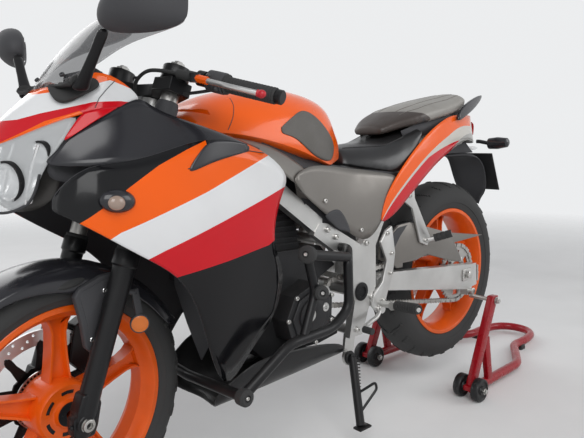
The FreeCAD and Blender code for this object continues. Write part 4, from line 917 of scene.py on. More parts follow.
@dataclass
class Tyre:
    """A road tyre with a grooved crown and ringed side walls.

    Attributes:
        radius, width: outer sizes in millimetres.
        foot: half width of its beads.
        pitches: how often the tread's pattern repeats.
        centre: the wheel's centre.
        body: what it turns with.
        steered: whether it is drawn with the bars straight.
    """

    name: str
    radius: float
    width: float
    foot: float
    pitches: int
    centre: Point
    body: Body
    steered: bool

    def profile(self) -> list[tuple[float, float]]:
        """Return the outer section from bead to bead, as distance along the axle and radius."""
        bead, half = BEAD_RADIUS + 0.5, self.width / 2 - 0.5
        height = self.radius - bead - 0.5
        side = [(self.foot, 0.0), (self.foot + 3, 0.06), (self.foot + 4.5, 0.07), (half * 0.93, 0.26),
                (half * 0.955, 0.27), (half, 0.40), (half * 0.985, 0.52), (half * 0.95, 0.60), (half * 0.90, 0.68),
                (half * 0.78, 0.80), (half * 0.62, 0.895), (half * 0.45, 0.955), (half * 0.28, 0.985),
                (half * 0.10, 1.0)]
        fine = side[:8]
        for low, high in zip(side[7:], side[8:]):
            fine += [((low[0] + high[0]) / 2, (low[1] + high[1]) / 2 + 0.004), high]
        right = [(y, bead + share * height) for y, share in fine]
        return [(-y, r) for y, r in right] + right[::-1]

    def build(self) -> None:
        """Make the tyre with curved grooves cut in its tread."""
        work = Build()
        steps = self.pitches * 16
        faces = work.lathe(self.profile(), self.centre, (0, 1, 0), steps, closed=True)
        middle = spot(self.centre)
        chosen = []
        for face in faces:
            offset = face.calc_center_median() - middle
            if math.hypot(offset.x, offset.z) * 1000 < self.radius - 22:
                continue
            turn = math.degrees(math.atan2(offset.z, offset.x)) % 360
            lane = abs(offset.y) * 2000 / self.width
            place = (turn / 360 * self.pitches + lane * 0.9) % 2.0
            if 0.12 < lane < 0.95 and (place < 0.19 or (1.0 < place < 1.19 and lane > 0.42)):
                chosen.append(face)
        bmesh.ops.inset_region(work.bm, faces=chosen, thickness=0.0004, depth=-0.003, use_even_offset=True)
        work.piece(self.name + "_tread", Finishes.TYRE, self.body, replaces=[self.name], steered=self.steered)


@dataclass
class Wheel:
    """A cast wheel with five channelled spokes, its valve and its brake disc.

    Attributes:
        half: half the rim's width.
        boss_left, boss_right: how far the hub reaches to each side.
        disc_radius: the brake disc's radius.
        holes: holes in each row of the disc.
    """

    name: str
    half: float
    boss_left: float
    boss_right: float
    disc_radius: float
    holes: int
    centre: Point
    body: Body
    steered: bool
    spokes: int = 5
    seat: float = BEAD_RADIUS
    hub: float = 64.0

    def put(self, work: Build, name: str, finish: Finish, replaces: Sequence[str] = (), round_by: float = 0.0) -> None:
        """Turn a mesh of this wheel into a piece."""
        work.piece(f"{self.name}_{name}", finish, self.body, replaces=replaces, steered=self.steered,
                   round_by=round_by)

    def barrel(self) -> None:
        """Make the rim's barrel with its lips."""
        half, seat = self.half, self.seat
        side = [(half * 0.42, seat - 18), (half - 8, seat - 2), (half - 3, seat - 0.5), (half - 0.5, seat + 4),
                (half + 1.5, seat + 5), (half + 3, seat + 3.5), (half + 3, seat - 6), (half + 1, seat - 8.5),
                (half * 0.72, seat - 13), (half * 0.42, seat - 25)]
        left = [(-y, r) for y, r in reversed(side)]
        work = Build()
        work.lathe(side + left, self.centre, (0, 1, 0), 112)
        self.put(work, "barrel", Finishes.WHEEL, [self.name + "_rim"])

    def star(self) -> None:
        """Make the five spokes, each with a deep channel on both faces."""
        work = Build()
        x, _, z = self.centre
        inner = self.seat - 23
        widths = ((self.hub - 22, 27), (self.hub - 4, 24), (92, 20), (124, 17), (160, 16), (inner - 16, 20),
                  (inner - 4, 27), (inner + 1, 32))
        outline = [(x - w, z + r) for r, w in widths] + [(x + w, z + r) for r, w in reversed(widths)]
        deep = min(self.half * 0.42, 17.0)
        work.slab(outline, -deep, deep)
        for thickness, depth in ((0.0048, 0.0), (0.0028, -0.0115)):
            caps = [face for face in work.bm.faces if len(face.verts) == len(outline)]
            bmesh.ops.inset_region(work.bm, faces=caps, thickness=thickness, depth=depth, use_even_offset=True)
        repeat_round(work, self.spokes, self.centre)
        self.put(work, "spokes", Finishes.WHEEL, round_by=1.6)

    def hub_ring(self) -> None:
        """Make the hub with the dark slots of its flange, and its bearings' seals."""
        web = [(-self.boss_left, 16.0), (-self.boss_left, 27.0), (-44.0, 30.0), (-42.0, 34.0), (-45.0, 52.0),
               (-45.0, 58.0), (-40.0, 62.0), (-20.0, 64.0), (20.0, 64.0), (40.0, 62.0), (45.0, 58.0), (45.0, 52.0),
               (42.0, 34.0), (44.0, 30.0), (self.boss_right, 27.0), (self.boss_right, 16.0)]
        work = Build()
        work.lathe(web, self.centre, (0, 1, 0), 80)
        self.put(work, "hub", Finishes.WHEEL)
        slots, caps = Build(), Build()
        x, _, z = self.centre
        for way in (-1, 1):
            arc = [(x + reach * math.sin(turn), z + reach * math.cos(turn)) for reach, turns in
                   ((40.5, (-0.30, -0.15, 0.0, 0.15, 0.30)), (48.5, (0.30, 0.15, 0.0, -0.15, -0.30)))
                   for turn in turns]
            slots.slab(arc, 40.0 * way, 44.6 * way, 1.2)
            reach = self.boss_left if way < 0 else self.boss_right
            caps.lathe([(-1.5, 8.2), (-1.5, 26.0), (0.6, 25.0), (0.6, 8.2)], (x, reach * way, z), (0, way, 0), 40)
        repeat_round(slots, 6, self.centre)
        self.put(slots, "hub_slots", Finishes.CARRIER)
        self.put(caps, "seals", Finishes.CARRIER)

    def valve(self) -> None:
        """Make the valve stem that points in from the barrel."""
        x, y, z = self.centre
        turn = math.radians(200)
        out = Vector((math.cos(turn), 0, -math.sin(turn)))
        foot = Vector((x, y - 6, z)) + out * (self.seat - 24)
        tip = foot - out * 30 + Vector((0, -8, 0))
        work = Build()
        work.tube([foot, foot.lerp(tip, 0.6)], 4.6, sides=12)
        work.tube([foot.lerp(tip, 0.55), tip], 3.6, sides=12)
        self.put(work, "valve", Finishes.CARRIER)

    def brake(self, low: float) -> None:
        """Make the drilled disc, its dark carrier and its buttons.

        Args:
            low: the disc's inner face, along the axle.
        """
        x, _, z = self.centre
        band = 32.0
        outer, inner = self.disc_radius, self.disc_radius - band
        ring = Build()
        ring.lathe([(low, inner), (low, outer), (low + 5, outer), (low + 5, inner)], (x, 0, z), (0, 1, 0), 72)
        drills = Build()
        for index in range(self.holes):
            turn = math.tau * index / self.holes
            reach = inner + (8, 16, 24)[index % 3]
            drills.disc((x + reach * math.sin(turn), low - 3, z + reach * math.cos(turn)), (0, 1, 0), 3.2, 11, 10)
        self.put(carved(ring, drills), "rotor", Finishes.DISC, [self.name + "_disc"])
        star = Build()
        star.lathe([(low + 0.5, 31.3), (low + 0.5, 60), (low + 4.5, 60), (low + 4.5, 31.3)], (x, 0, z), (0, 1, 0), 60)
        self.put(star, "carrier", Finishes.CARRIER)
        arms = Build()
        edge = inner + 5
        arms.slab([(x - 14, z + 56), (x - 8, z + edge * 0.8), (x - 9, z + edge), (x + 9, z + edge),
                   (x + 8, z + edge * 0.8), (x + 14, z + 56)], low + 0.4, low + 4.6, 1.2)
        arms.disc((x, low - 1.5, z + edge - 4), (0, 1, 0), 7.5, 8, 16, 1)
        arms.slab([(x - 30, z + 57), (x - 22, z + 68), (x + 22, z + 68), (x + 30, z + 57)], low + 0.4, low + 4.6)
        repeat_round(arms, 10, self.centre)
        self.put(arms, "carrier_arms", Finishes.CARRIER)
        bolts = Build()
        bolts.bolt((x, low + 4.6, z + 48), (0, 1, 0), 6)
        repeat_round(bolts, 5, self.centre)
        self.put(bolts, "disc_bolts", Finishes.ZINC)

    def sensor_ring(self, low: float) -> None:
        """Make the slotted ring that the wheel sensor reads."""
        x, _, z = self.centre
        work = Build()
        work.lathe([(low, 51), (low, 55), (low + 3, 55), (low + 3, 51)], (x, 0, z), (0, 1, 0), 60)
        work.lathe([(low, 63), (low, 66), (low + 3, 66), (low + 3, 63)], (x, 0, z), (0, 1, 0), 60)
        teeth = Build()
        teeth.slab([(x - 1.6, z + 54), (x - 1.6, z + 64), (x + 1.6, z + 64), (x + 1.6, z + 54)], low, low + 3)
        repeat_round(teeth, 44, self.centre)
        self.put(work, "sensor_ring", Finishes.ZINC)
        self.put(teeth, "sensor_teeth", Finishes.ZINC)

    def build(self, disc_low: float) -> None:
        """Make every piece of the wheel."""
        self.barrel()
        self.star()
        self.hub_ring()
        self.valve()
        self.brake(disc_low)


@dataclass
class FrontEnd:
    """The fork with its mudguard and caliper, all drawn with the bars straight."""

    slider: float = 25.0
    tube: float = 18.5
    axle: float = FRONT_AXLE_Z

    def on_fork(self, side: Side, height: float) -> Point:
        """Return the point of a leg's centre line at a height."""
        return leg_at(height), FORK_HALF * side.value, height

    def legs(self) -> None:
        """Make both sliders, their seals, foot castings and upper tubes."""
        length = 345.0
        sliders, seals, tubes, feet, sleeves = Build(), Build(), Build(), Build(), Build()
        for side in Side:
            base = self.on_fork(side, self.axle)
            sliders.lathe([(-24, 0.001), (-24, 20), (-16, 22), (30, 22.5), (60, 21.2), (200, 21.4),
                           (length - 34, self.slider - 2), (length - 30, self.slider + 1.4),
                           (length - 2, self.slider + 1.4), (length, self.slider), (length, self.tube + 1)],
                          base, UP_FORK, 40, closed=False)
            seals.lathe([(length - 1, self.tube), (length - 1, self.slider - 0.5), (length + 5, self.slider - 1),
                         (length + 8, self.tube + 2.5), (length + 8, self.tube)], base, UP_FORK, 40)
            tubes.lathe([(length - 2, 0.001), (length - 2, self.tube), (708, self.tube), (712, self.tube - 3),
                         (712, 0.001)], base, UP_FORK, 40, closed=False)
            sleeves.lathe([(472, self.tube), (472, 22), (480, 23.5), (650, 23.5), (660, 21), (660, self.tube)], base,
                          UP_FORK, 36)
            y = base[1]
            outer = y + 25 * side.value
            feet.slab([(-24, self.axle - 24), (-10, self.axle - 31), (18, self.axle - 29), (26, self.axle - 8),
                       (34, self.axle + 34), (24, self.axle + 62), (-6, self.axle + 60), (-18, self.axle + 26)],
                      y - 17, y + 17, 5.0, 3)
            feet.slab([(-26, self.axle - 18), (-26, self.axle + 14), (-14, self.axle + 22), (-14, self.axle - 26)],
                      y - 13, y + 13, 3.0)
            feet.disc((0, y, self.axle), (0, side.value, 0), 21, 20, 32, 2)
            tubes.lathe([(0, 14.5), (2, 14.5), (2, 13), (7, 12.5), (8, 11), (8, 7.0), (3, 6.5), (3, 4.6)],
                        (0, outer - 6 * side.value, self.axle), (0, side.value, 0), 24, closed=False)
            for rise in (4, -18):
                feet.bolt((-27, y + 8 * side.value, self.axle + rise - 4), (-1, 0, 0), 4.5)
        on_steering(sliders, "fork_sliders", Finishes.BLACK_METAL, "fork")
        on_steering(seals, "fork_seals", Finishes.RUBBER)
        on_steering(tubes, "fork_tubes", Finishes.CHAIN)
        on_steering(feet, "fork_feet", Finishes.BLACK_METAL)
        on_steering(sleeves, "fork_sleeves", Finishes.MATT_BLACK)

    def reflectors(self) -> None:
        """Make the round amber reflectors that stand behind the legs."""
        rims, lenses = Build(), Build()
        for side in Side:
            x, y, z = 130.0, 104.0 * side.value, self.axle + 172
            out = (-0.45, 0.89 * side.value, 0.0)
            rims.lathe([(0, 20), (6, 20), (7, 18.5), (7, 17.6), (0, 17.6)], (x, y, z), out, 32)
            rims.disc((x, y, z), out, 19, 3, 32)
            rims.slab([(x - 8, z + 14), (x - 20, z + 74), (x - 4, z + 76), (x + 8, z + 14)], y - 3, y + 3, 1)
            rims.tube([(x - 14, y, z + 68), (x - 40, y, z + 78)], 6)
            rims.bolt((x - 12, y + 3 * side.value, z + 68), (0, side.value, 0), 4)
            lenses.lathe([(3, 17.8), (7, 17.4), (9, 13), (10, 6.5), (10.4, 0.001)], (x, y, z), out, 32, closed=False)
        on_steering(rims, "reflector_rims", Finishes.MATT_BLACK)
        on_steering(lenses, "reflector_lenses", Finishes.AMBER)

    def mudguard(self) -> None:
        """Make the mudguard with its dark vents, its textured plates and their bolts."""
        radius = FRONT_TYRE + 16.0
        stations = ((56, 22, 10), (49, 44, 20), (40, 58, 26), (27, 66, 22), (12, 70, 40), (-4, 72, 60),
                    (-20, 70, 46), (-42, 66, 40), (-63, 58, 38))
        rows = []
        for angle, half, drop in stations:
            ahead, up = -math.sin(math.radians(angle)), math.cos(math.radians(angle))
            row = []
            for share, lower in ((-1.0, drop), (-0.97, drop * 0.5), (-0.82, 9), (-0.5, 2), (0.0, 0), (0.5, 2),
                                 (0.82, 9), (0.97, drop * 0.5), (1.0, drop)):
                reach = radius + 2 - lower
                row.append((reach * ahead, half * share, reach * up + self.axle))
            rows.append(row)
        sheet("mudguard", Finishes.GLOSS_BLACK, rows, body=Body.STEERING, replaces=["front_fender"], steered=True,
              wall=3.0, smooth=2)
        z = self.axle
        plates, bolts, vents = Build(), Build(), Build()
        for side in Side:
            s = side.value
            plates.slab([(0, z + 246), (11, z + 262), (60, z + 280), (88, z + 282), (88, z + 250), (58, z + 130),
                         (50, z + 118), (40, z + 120), (22, z + 138), (14, z + 190)], 64 * s, 80 * s, 4.0, 3)
            plates.slab([(10, z + 244), (18, z + 256), (60, z + 271), (78, z + 272), (76, z + 248), (52, z + 140),
                         (44, z + 132), (32, z + 144), (24, z + 192)], 78 * s, 81.5 * s, 1.5, 2)
            for x, up in ((63, z + 251), (33, z + 156)):
                bolts.bolt((x, 81 * s, up), (0, s, 0), 5.5)
            vents.ball((0, 64 * s, z + 271), (32, 10, 9), Matrix.Rotation(math.radians(-10), 4, "Y"), 32)
            vents.ball((-4, 66 * s, z + 271), (26, 10, 6), Matrix.Rotation(math.radians(-10), 4, "Y"), 32)
        on_steering(plates, "mudguard_plates", Finishes.MATT_BLACK)
        on_steering(bolts, "mudguard_bolts", Finishes.ALLOY_BRIGHT)
        on_steering(vents, "mudguard_vents", Finishes.RUBBER)

    def caliper(self) -> None:
        """Make the right brake caliper with its two bores."""
        work = Build()
        work.copy_node("front_caliper")
        work.piece("caliper_body", Finishes.BLACK_METAL, Body.STEERING, replaces=["front_caliper"], round_by=4.0,
                   outward=False)
        bores = Build()
        for x, z in ((112, self.axle + 58), (96, self.axle + 104)):
            bores.disc((x, 87, z), (0, 1, 0), 18, 5, 28, 2)
            bores.bolt((x + 14, 89, z + 20), (0, 1, 0), 5, False)
        on_steering(bores, "caliper_bores", Finishes.CARRIER)

    def yokes(self) -> None:
        """Dress the yokes, with the stem nut and the hex caps on the fork legs."""
        refine("fork_yokes", Finishes.BLACK_METAL, 3.0, Body.STEERING)
        work = Build()
        top = on_axis(TOP_YOKE, 28)
        work.lathe([(0, 21), (5, 21), (6, 19.5), (6, 16), (10, 15.8), (10, 8.6)], top, UP_FORK, 32, closed=False)
        for side in Side:
            cap = on_leg(TOP_YOKE, 62, side)
            work.lathe([(0, 16), (4, 16), (5, 14.5), (5, 10), (9, 9), (9, 0.001)], cap, UP_FORK, 6, closed=False)
        on_steering(work, "stem_nut", Finishes.ZINC)

    def build(self) -> None:
        """Make every piece of the front end."""
        self.legs()
        self.reflectors()
        self.mudguard()
        self.caliper()
        self.yokes()


@dataclass
class Controls:
    """Clip-on bars with grips, switches, levers and their cables."""

    bar: float = 11.0
    grip: float = 16.5

    def ends(self, side: Side) -> tuple[Vector, Vector]:
        """Return the inner and outer ends of a bar in millimetres."""
        x, y, z = on_leg(TOP_YOKE, 44, side)
        return Vector((x + 8, y + 20 * side.value, z)), Vector((x + 62, y + 240 * side.value, z - 46))

    def bars(self) -> None:
        """Make the clamps, bars, ribbed grips and end weights."""
        clamps, grips, weights = Build(), Build(), Build()
        for side in Side:
            inner, outer = self.ends(side)
            way = outer - inner
            clamps.lathe([(28.5, 18.7), (28.5, 28), (30, 29.5), (56, 29.5), (58, 28), (58, 18.7)],
                         on_leg(TOP_YOKE, 0, side), UP_FORK, 36)
            clamps.tube([inner - way * 0.06, inner + way * 0.5], self.bar)
            clamps.bolt(Vector(on_leg(TOP_YOKE, 44, side)) + Vector((24, -20 * side.value, 0)), (1, -side.value, 0), 5)
            start, end = way.length * 0.46, way.length * 0.955
            profile = [(start - 3, self.bar), (start - 3, 20), (start + 1, 20.5), (start + 3, self.grip)]
            ribs = 15
            for index in range(ribs):
                place = start + 8 + (end - start - 16) * index / (ribs - 1)
                profile += [(place - 2.2, self.grip - 0.9), (place - 1.2, self.grip), (place + 1.2, self.grip),
                            (place + 2.2, self.grip - 0.9)]
            profile += [(end - 3, self.grip), (end, self.grip - 1.5), (end, self.bar)]
            grips.lathe(profile, inner, way, 40, closed=False)
            weights.lathe([(end, 8), (end, 13.5), (end + 3, 14.5), (end + 12, 14.5), (end + 14, 12.5),
                           (end + 14, 0.001)], inner, way, 28, closed=False)
        on_steering(clamps, "bar_clamps", Finishes.BLACK_METAL, "handlebars")
        on_steering(grips, "grips", Finishes.RUBBER)
        on_steering(weights, "bar_weights", Finishes.BLACK_METAL)

    def switches(self) -> None:
        """Make the switch housings with their rockers and buttons."""
        shells, keys = Build(), Build()
        for side in Side:
            inner, outer = self.ends(side)
            way = outer - inner
            unit = way.normalized()
            back = unit.cross(Vector((0, 0, side.value))).normalized()
            start, end = way.length * 0.27, way.length * 0.445
            shells.lathe([(start, 10), (start, 19), (start + 2, 21.5), (start + 18, 22), (start + 19, 21),
                          (start + 20, 22), (end - 2, 22), (end, 20), (end, 10)], inner, way, 30, closed=False)
            middle = inner + unit * (start + end) / 2
            for step, (rise, wide) in enumerate(((10, 5), (-2, 6), (-13, 4))):
                foot = middle + unit * (step * 9 - 9) + back * -19 + Vector((0, 0, rise))
                keys.ball(foot, (6, wide, 4.5))
        on_steering(shells, "switch_housings", Finishes.MATT_BLACK)
        on_steering(keys, "switch_keys", Finishes.PLASTIC_GREY)

    def levers(self) -> None:
        """Make the levers, their perches, the clutch lever's boot and the brake's fluid cup."""
        blades, perches, boots, tips, ends = Build(), Build(), Build(), Build(), Build()
        for side in Side:
            inner, outer = self.ends(side)
            way = outer - inner
            ahead = way.cross(Vector((0, 0, -side.value))).normalized()
            root = inner + way * 0.20
            perches.lathe([(-9, 11.2), (-9, 16), (9, 16), (9, 11.2)], root, way, 28)
            perches.tube([root + ahead * 13, root + ahead * 34 + way * 0.02], 10, sides=16)
            pivot = root + ahead * 40 + way * 0.03
            perches.lathe([(-9, 0.001), (-9, 10), (9, 10), (9, 0.001)], pivot, (0, 0, 1), 20, closed=False)
            boots.tube([root + ahead * 30 - way * 0.01, root + ahead * 34 - way * 0.09,
                        root + ahead * 33 - way * 0.16], 10.5, sides=16, soft=True)
            knuckle = [pivot + way * share for share in (0.0, 0.14)]
            tips.tube(knuckle, 8.0, sides=12)
            path = [pivot + way * 0.12, pivot + way * 0.28 + ahead * 9, inner + way * 0.62 + ahead * 60,
                    inner + way * 0.80 + ahead * 56, inner + way * 0.93 + ahead * 50]
            blades.tube(path, 5.6, sides=16, soft=True)
            ends.ball(path[-1], (8, 10, 8))
            ends.tube([path[-2].lerp(path[-1], 0.7), path[-1]], 6.8, sides=12)
            if side is Side.RIGHT:
                base = root + ahead * 37
                perches.lathe([(-8, 0.001), (-8, 10), (0, 13), (18, 14), (19, 14.5), (23, 14.5), (24, 13), (24, 0.001)],
                              base, (-0.1, 0, 1), 28, closed=False)
        on_steering(perches, "lever_perches", Finishes.BLACK_METAL, "hand_levers")
        on_steering(boots, "lever_boots", Finishes.RUBBER)
        on_steering(tips, "lever_knuckles", Finishes.TANK)
        on_steering(ends, "lever_ends", Finishes.LEVER_TIP)
        on_steering(blades, "lever_blades", Finishes.ALLOY)

    def cables(self) -> None:
        """Lead the clutch cable, brake hose and wires from the bars down to the steering head."""
        work = Build()
        inner, outer = self.ends(Side.LEFT)
        way = outer - inner
        ahead = way.cross(Vector((0, 0, 1))).normalized()
        root = inner + way * 0.04 + ahead * 33
        work.tube([root, root - way * 0.16 + ahead * 4, root - way * 0.34 + Vector((-12, 0, -8)),
                   root - way * 0.46 + Vector((-14, 8, -52)), root - way * 0.40 + Vector((10, 14, -130))],
                  4.0, sides=12, soft=True)
        for side in Side:
            inner, outer = self.ends(side)
            way = outer - inner
            start = inner + way * 0.3 + Vector((0, 0, -18))
            work.tube([start, start - way * 0.25 + Vector((-16, 0, -22)),
                       inner + Vector((-30, -40 * side.value, -40)),
                       inner + Vector((-16, -60 * side.value, -110))], 3.4, sides=12, soft=True)
        inner, outer = self.ends(Side.RIGHT)
        way = outer - inner
        ahead = way.cross(Vector((0, 0, -1))).normalized()
        start = inner + way * 0.10 + ahead * 36
        work.tube([start, start - way * 0.2 + Vector((-10, 0, 4)),
                   start - way * 0.36 + Vector((4, 0, -60)), start - way * 0.36 + Vector((24, 0, -170))],
                  3.6, sides=12, soft=True)
        on_steering(work, "bar_cables", Finishes.RUBBER)

    def build(self) -> None:
        """Make every piece of the controls."""
        self.bars()
        self.switches()
        self.levers()
        self.cables()


@dataclass
class Bodywork:
    """The painted and moulded panels, from the nose to the tank."""

    wall: float = 3.0

    def side_paint(self) -> Livery:
        """Return the side panel's paint: orange, white, red and black bands with straight edges."""
        bands = (
            Band(ORANGE, ((-60, 668), (-16, 696), (66, 752), (130, 791), (192, 820), (236, 838), (240, 822), (344, 819),
                          (350, 850))),
            Band(WHITE, ((-100, 585), (46, 673), (234, 737), (395, 801), (470, 830))),
            Band(RED, ((-100, 541), (135, 630), (256, 668), (395, 712), (470, 736))),
            Band(BLACK, ((-100, 532), (180, 573), (300, 588), (419, 606), (480, 640))),
        )
        return Livery("side_paint", "orange_panel", BLACK, 0.14, coat=0.18, relief=0.0, mottle=0.05, shine=0.2,
                      bands=bands)

    def sides(self) -> None:
        """Make the two big side panels with their hollow, dark inset and lining, and a dark line painted along each
        crease as its shade.
        """
        rows = [
            [(-45, 160, 745), (-6, 200, 797), (84, 206, 796), (190, 212, 832), (250, 212, 842), (330, 208, 838),
             (410, 200, 811), (490, 188, 757)],
            [(-50, 163, 732), (-10, 212, 745), (83, 228, 722), (185, 229, 718), (248, 224, 708), (325, 215, 700),
             (400, 204, 695), (452, 190, 715)],
            [(-51, 164, 724), (-15, 214, 718), (82, 227, 668), (182, 222, 640), (250, 212, 600), (318, 200, 560),
             (400, 192, 590), (420, 194, 604)],
            [(-51, 164, 718), (-17, 214, 705), (81, 225, 645), (181, 214, 602), (248, 195, 525), (315, 174, 430),
             (395, 172, 470), (487, 176, 540)],
            [(-50, 165, 712), (-19, 213, 693), (81, 222, 627), (180, 206, 573), (246, 180, 478), (314, 150, 246),
             (389, 160, 368), (462, 166, 424)],
        ]
        inset = [
            [(243, 215, 838), (276, 215, 839), (312, 215, 837), (350, 214, 829)],
            [(214, 216, 810), (248, 216, 817), (292, 215, 823), (350, 212, 823)],
            [(180, 216, 770), (230, 216, 789), (280, 215, 803), (352, 210, 816)],
        ]
        for side in Side:
            name = side.name.lower()
            skin = sheet(f"side_panel_{name}", self.side_paint(), flipped(rows, side), wall=self.wall, smooth=2,
                         replaces=[f"side_fairing_{name}"])
            inner = [[(x, y - 4.5, z) for x, y, z in row] for row in rows]
            sheet(f"side_lining_{name}", Finishes.MATT_BLACK, flipped(inner, side), wall=1.0, smooth=2)
            dark = sheet(f"side_inset_{name}", Finishes.GLOSS_BLACK, flipped(inset, side), smooth=2)
            settle(dark, skin, 1.6, 1.2)
            # Painted shade: a thin black line laid along the panel's crease under the dark inset.
            joint = Build()
            crease = [(190, 0, 783), (228, 0, 790), (276, 0, 802), (350, 0, 817), (396, 0, 812)]
            joint.tube(traced(skin, crease, side), 1.0, sides=8)
            joint.piece(f"side_crease_{name}", Finishes.MATT_BLACK)
            self.hollow(side)

    def hollow(self, side: Side) -> None:
        """Make the dark air duct between the side panel's top edge and the inner cowl."""
        rows = [
            [(60, 190, 796), (120, 194, 806), (180, 198, 826), (236, 204, 840)],
            [(50, 176, 780), (116, 176, 786), (180, 180, 800), (240, 190, 826)],
            [(50, 160, 800), (116, 158, 806), (180, 164, 816), (240, 180, 836)],
        ]
        sheet(f"air_duct_{side.name.lower()}", Finishes.MATT_BLACK, flipped(rows, side), wall=2.0, smooth=2)

    def nose_paint(self) -> Livery:
        """Return the nose's paint, in straight-edged bands."""
        bands = (
            Band(WHITE, ((-130, 912), (-14, 924), (34, 934), (80, 949), (124, 930), (150, 934))),
            Band(RED, ((-130, 866), (-62, 874), (-28, 886), (46, 907), (90, 910), (150, 905))),
            Band(ORANGE, ((-130, 828), (-93, 833), (-29, 871), (22, 890), (30, 880), (31, 700), (150, 700))),
        )
        return Livery("nose_paint", "orange_panel", ORANGE, 0.16, coat=0.2, relief=0.0, mottle=0.04, shine=0.25,
                      bands=bands)

    def nose(self) -> None:
        """Make the nose over the headlight, with the joint line on each side and a dark lining."""
        rows = across([
            [(-122, 0, 822), (-96, 50, 828), (-38, 92, 862), (30, 131, 888), (60, 144, 894), (96, 150, 900)],
            [(-92, 0, 870), (-72, 42, 868), (-14, 80, 886), (38, 124, 914), (74, 145, 906), (106, 150, 906)],
            [(-50, 0, 905), (-38, 38, 905), (4, 70, 917), (50, 118, 944), (92, 144, 926), (120, 150, 911)],
            [(-16, 0, 932), (-8, 34, 936), (20, 58, 942), (60, 116, 973), (106, 142, 944), (132, 150, 916)],
        ])
        cheeks = both_sides([
            [(22, 124, 884), (60, 140, 868), (104, 146, 880), (150, 150, 888)],
            [(-30, 118, 830), (30, 134, 800), (100, 150, 800), (180, 158, 826)],
            [(-50, 108, 760), (20, 140, 760), (100, 150, 760), (180, 160, 780)],
        ])
        points = both_sides([
            [(24, 130, 890), (58, 144, 896), (100, 151, 905)],
            [(4, 134, 864), (26, 142, 870), (48, 147, 878)],
            [(-20, 138, 834), (-10, 140, 839), (2, 142, 847)],
        ])
        skin = sheet("nose", self.nose_paint(), rows, replaces=["upper_fairing"], wall=self.wall, smooth=2)
        inner = [[(x + 6, y * 0.965, z - 5) for x, y, z in row] for row in rows]
        sheet("nose_lining", Finishes.MATT_BLACK, inner, *cheeks, wall=1.0, smooth=2)
        seams = Build()
        for side in Side:
            seams.tube(traced(skin, [(46, 0, 896), (56, 0, 914), (72, 0, 932), (88, 0, 948)], side), 0.8, sides=8)
        sheet("nose_points", Finishes.RED_PAINT, *points, wall=2.0, smooth=2)
        seams.piece("nose_seams", Finishes.MATT_BLACK)

    def screen(self) -> None:
        """Make the smoked windscreen and its screws."""
        rows = across([
            [(-14, 0, 935), (-6, 34, 939), (18, 58, 946), (38, 88, 962), (62, 120, 979)],
            [(26, 0, 990), (32, 44, 992), (48, 78, 998), (74, 106, 1008), (108, 130, 1018)],
            [(78, 0, 1052), (86, 46, 1053), (106, 82, 1052), (140, 110, 1050), (176, 130, 1046)],
            [(136, 0, 1102), (146, 44, 1101), (168, 80, 1096), (202, 106, 1084), (236, 126, 1070)],
            [(214, 0, 1128), (222, 42, 1126), (240, 74, 1118), (254, 98, 1104), (264, 116, 1088)],
        ])
        sheet("screen", Finishes.SMOKE, rows, replaces=["windscreen"], wall=2.6, smooth=2)
        screws = Build()
        for side in Side:
            s = side.value
            for place in ((18, 62 * s, 958), (52, 106 * s, 974)):
                screws.bolt(place, (-0.55, 0.35 * s, 0.75), 5)
        screws.piece("screen_screws", Finishes.MATT_BLACK)

    def inner_cowls(self) -> None:
        """Make the glossy dark cowls between nose, side panels and cockpit."""
        skins = both_sides([
            [(-12, 136, 836), (34, 147, 866), (92, 153, 903), (130, 152, 922), (158, 154, 897), (228, 170, 875),
             (296, 180, 856), (394, 186, 824)],
            [(-32, 128, 812), (10, 155, 830), (88, 172, 846), (132, 174, 856), (170, 178, 852), (230, 190, 858),
             (300, 194, 850), (400, 192, 818)],
            [(-54, 122, 793), (-12, 160, 790), (24, 192, 794), (86, 200, 792), (124, 202, 796), (170, 204, 812),
             (240, 208, 838), (330, 205, 834)],
        ])
        sheet("side_cowls", Finishes.GLOSS_BLACK, *skins, replaces=["inner_cowl"], wall=self.wall, smooth=2)

    def belly(self) -> None:
        """Make the belly pan with its raised edge, and the dark shield behind the wheel."""
        rows = across([
            [(360, 0, 206), (346, 60, 208), (328, 112, 222), (306, 122, 256), (376, 128, 294)],
            [(480, 0, 210), (478, 60, 212), (470, 112, 230), (450, 140, 270), (430, 150, 330)],
            [(620, 0, 222), (620, 60, 224), (618, 114, 240), (612, 144, 280), (600, 152, 322)],
            [(744, 0, 236), (744, 60, 238), (742, 112, 250), (740, 134, 270), (734, 140, 294)],
        ])
        sheet("belly", Finishes.BELLY, rows, replaces=["belly_pan"], wall=self.wall, smooth=2)
        shield = Build()
        shield.plate([(360, -118, 640), (360, -116, 470), (360, -60, 380), (360, 0, 300), (360, 60, 380),
                      (360, 116, 470), (360, 118, 640)], (3.6, 0, 0), 1.0)
        for y in (-92, -46, 0, 46, 92):
            shield.plate([(357, y - 5, 636), (357, y - 5, 480), (357, y + 5, 480), (357, y + 5, 636)], (3.2, 0, 0), 0.8)
        shield.piece("wheel_shield", Finishes.MATT_BLACK)

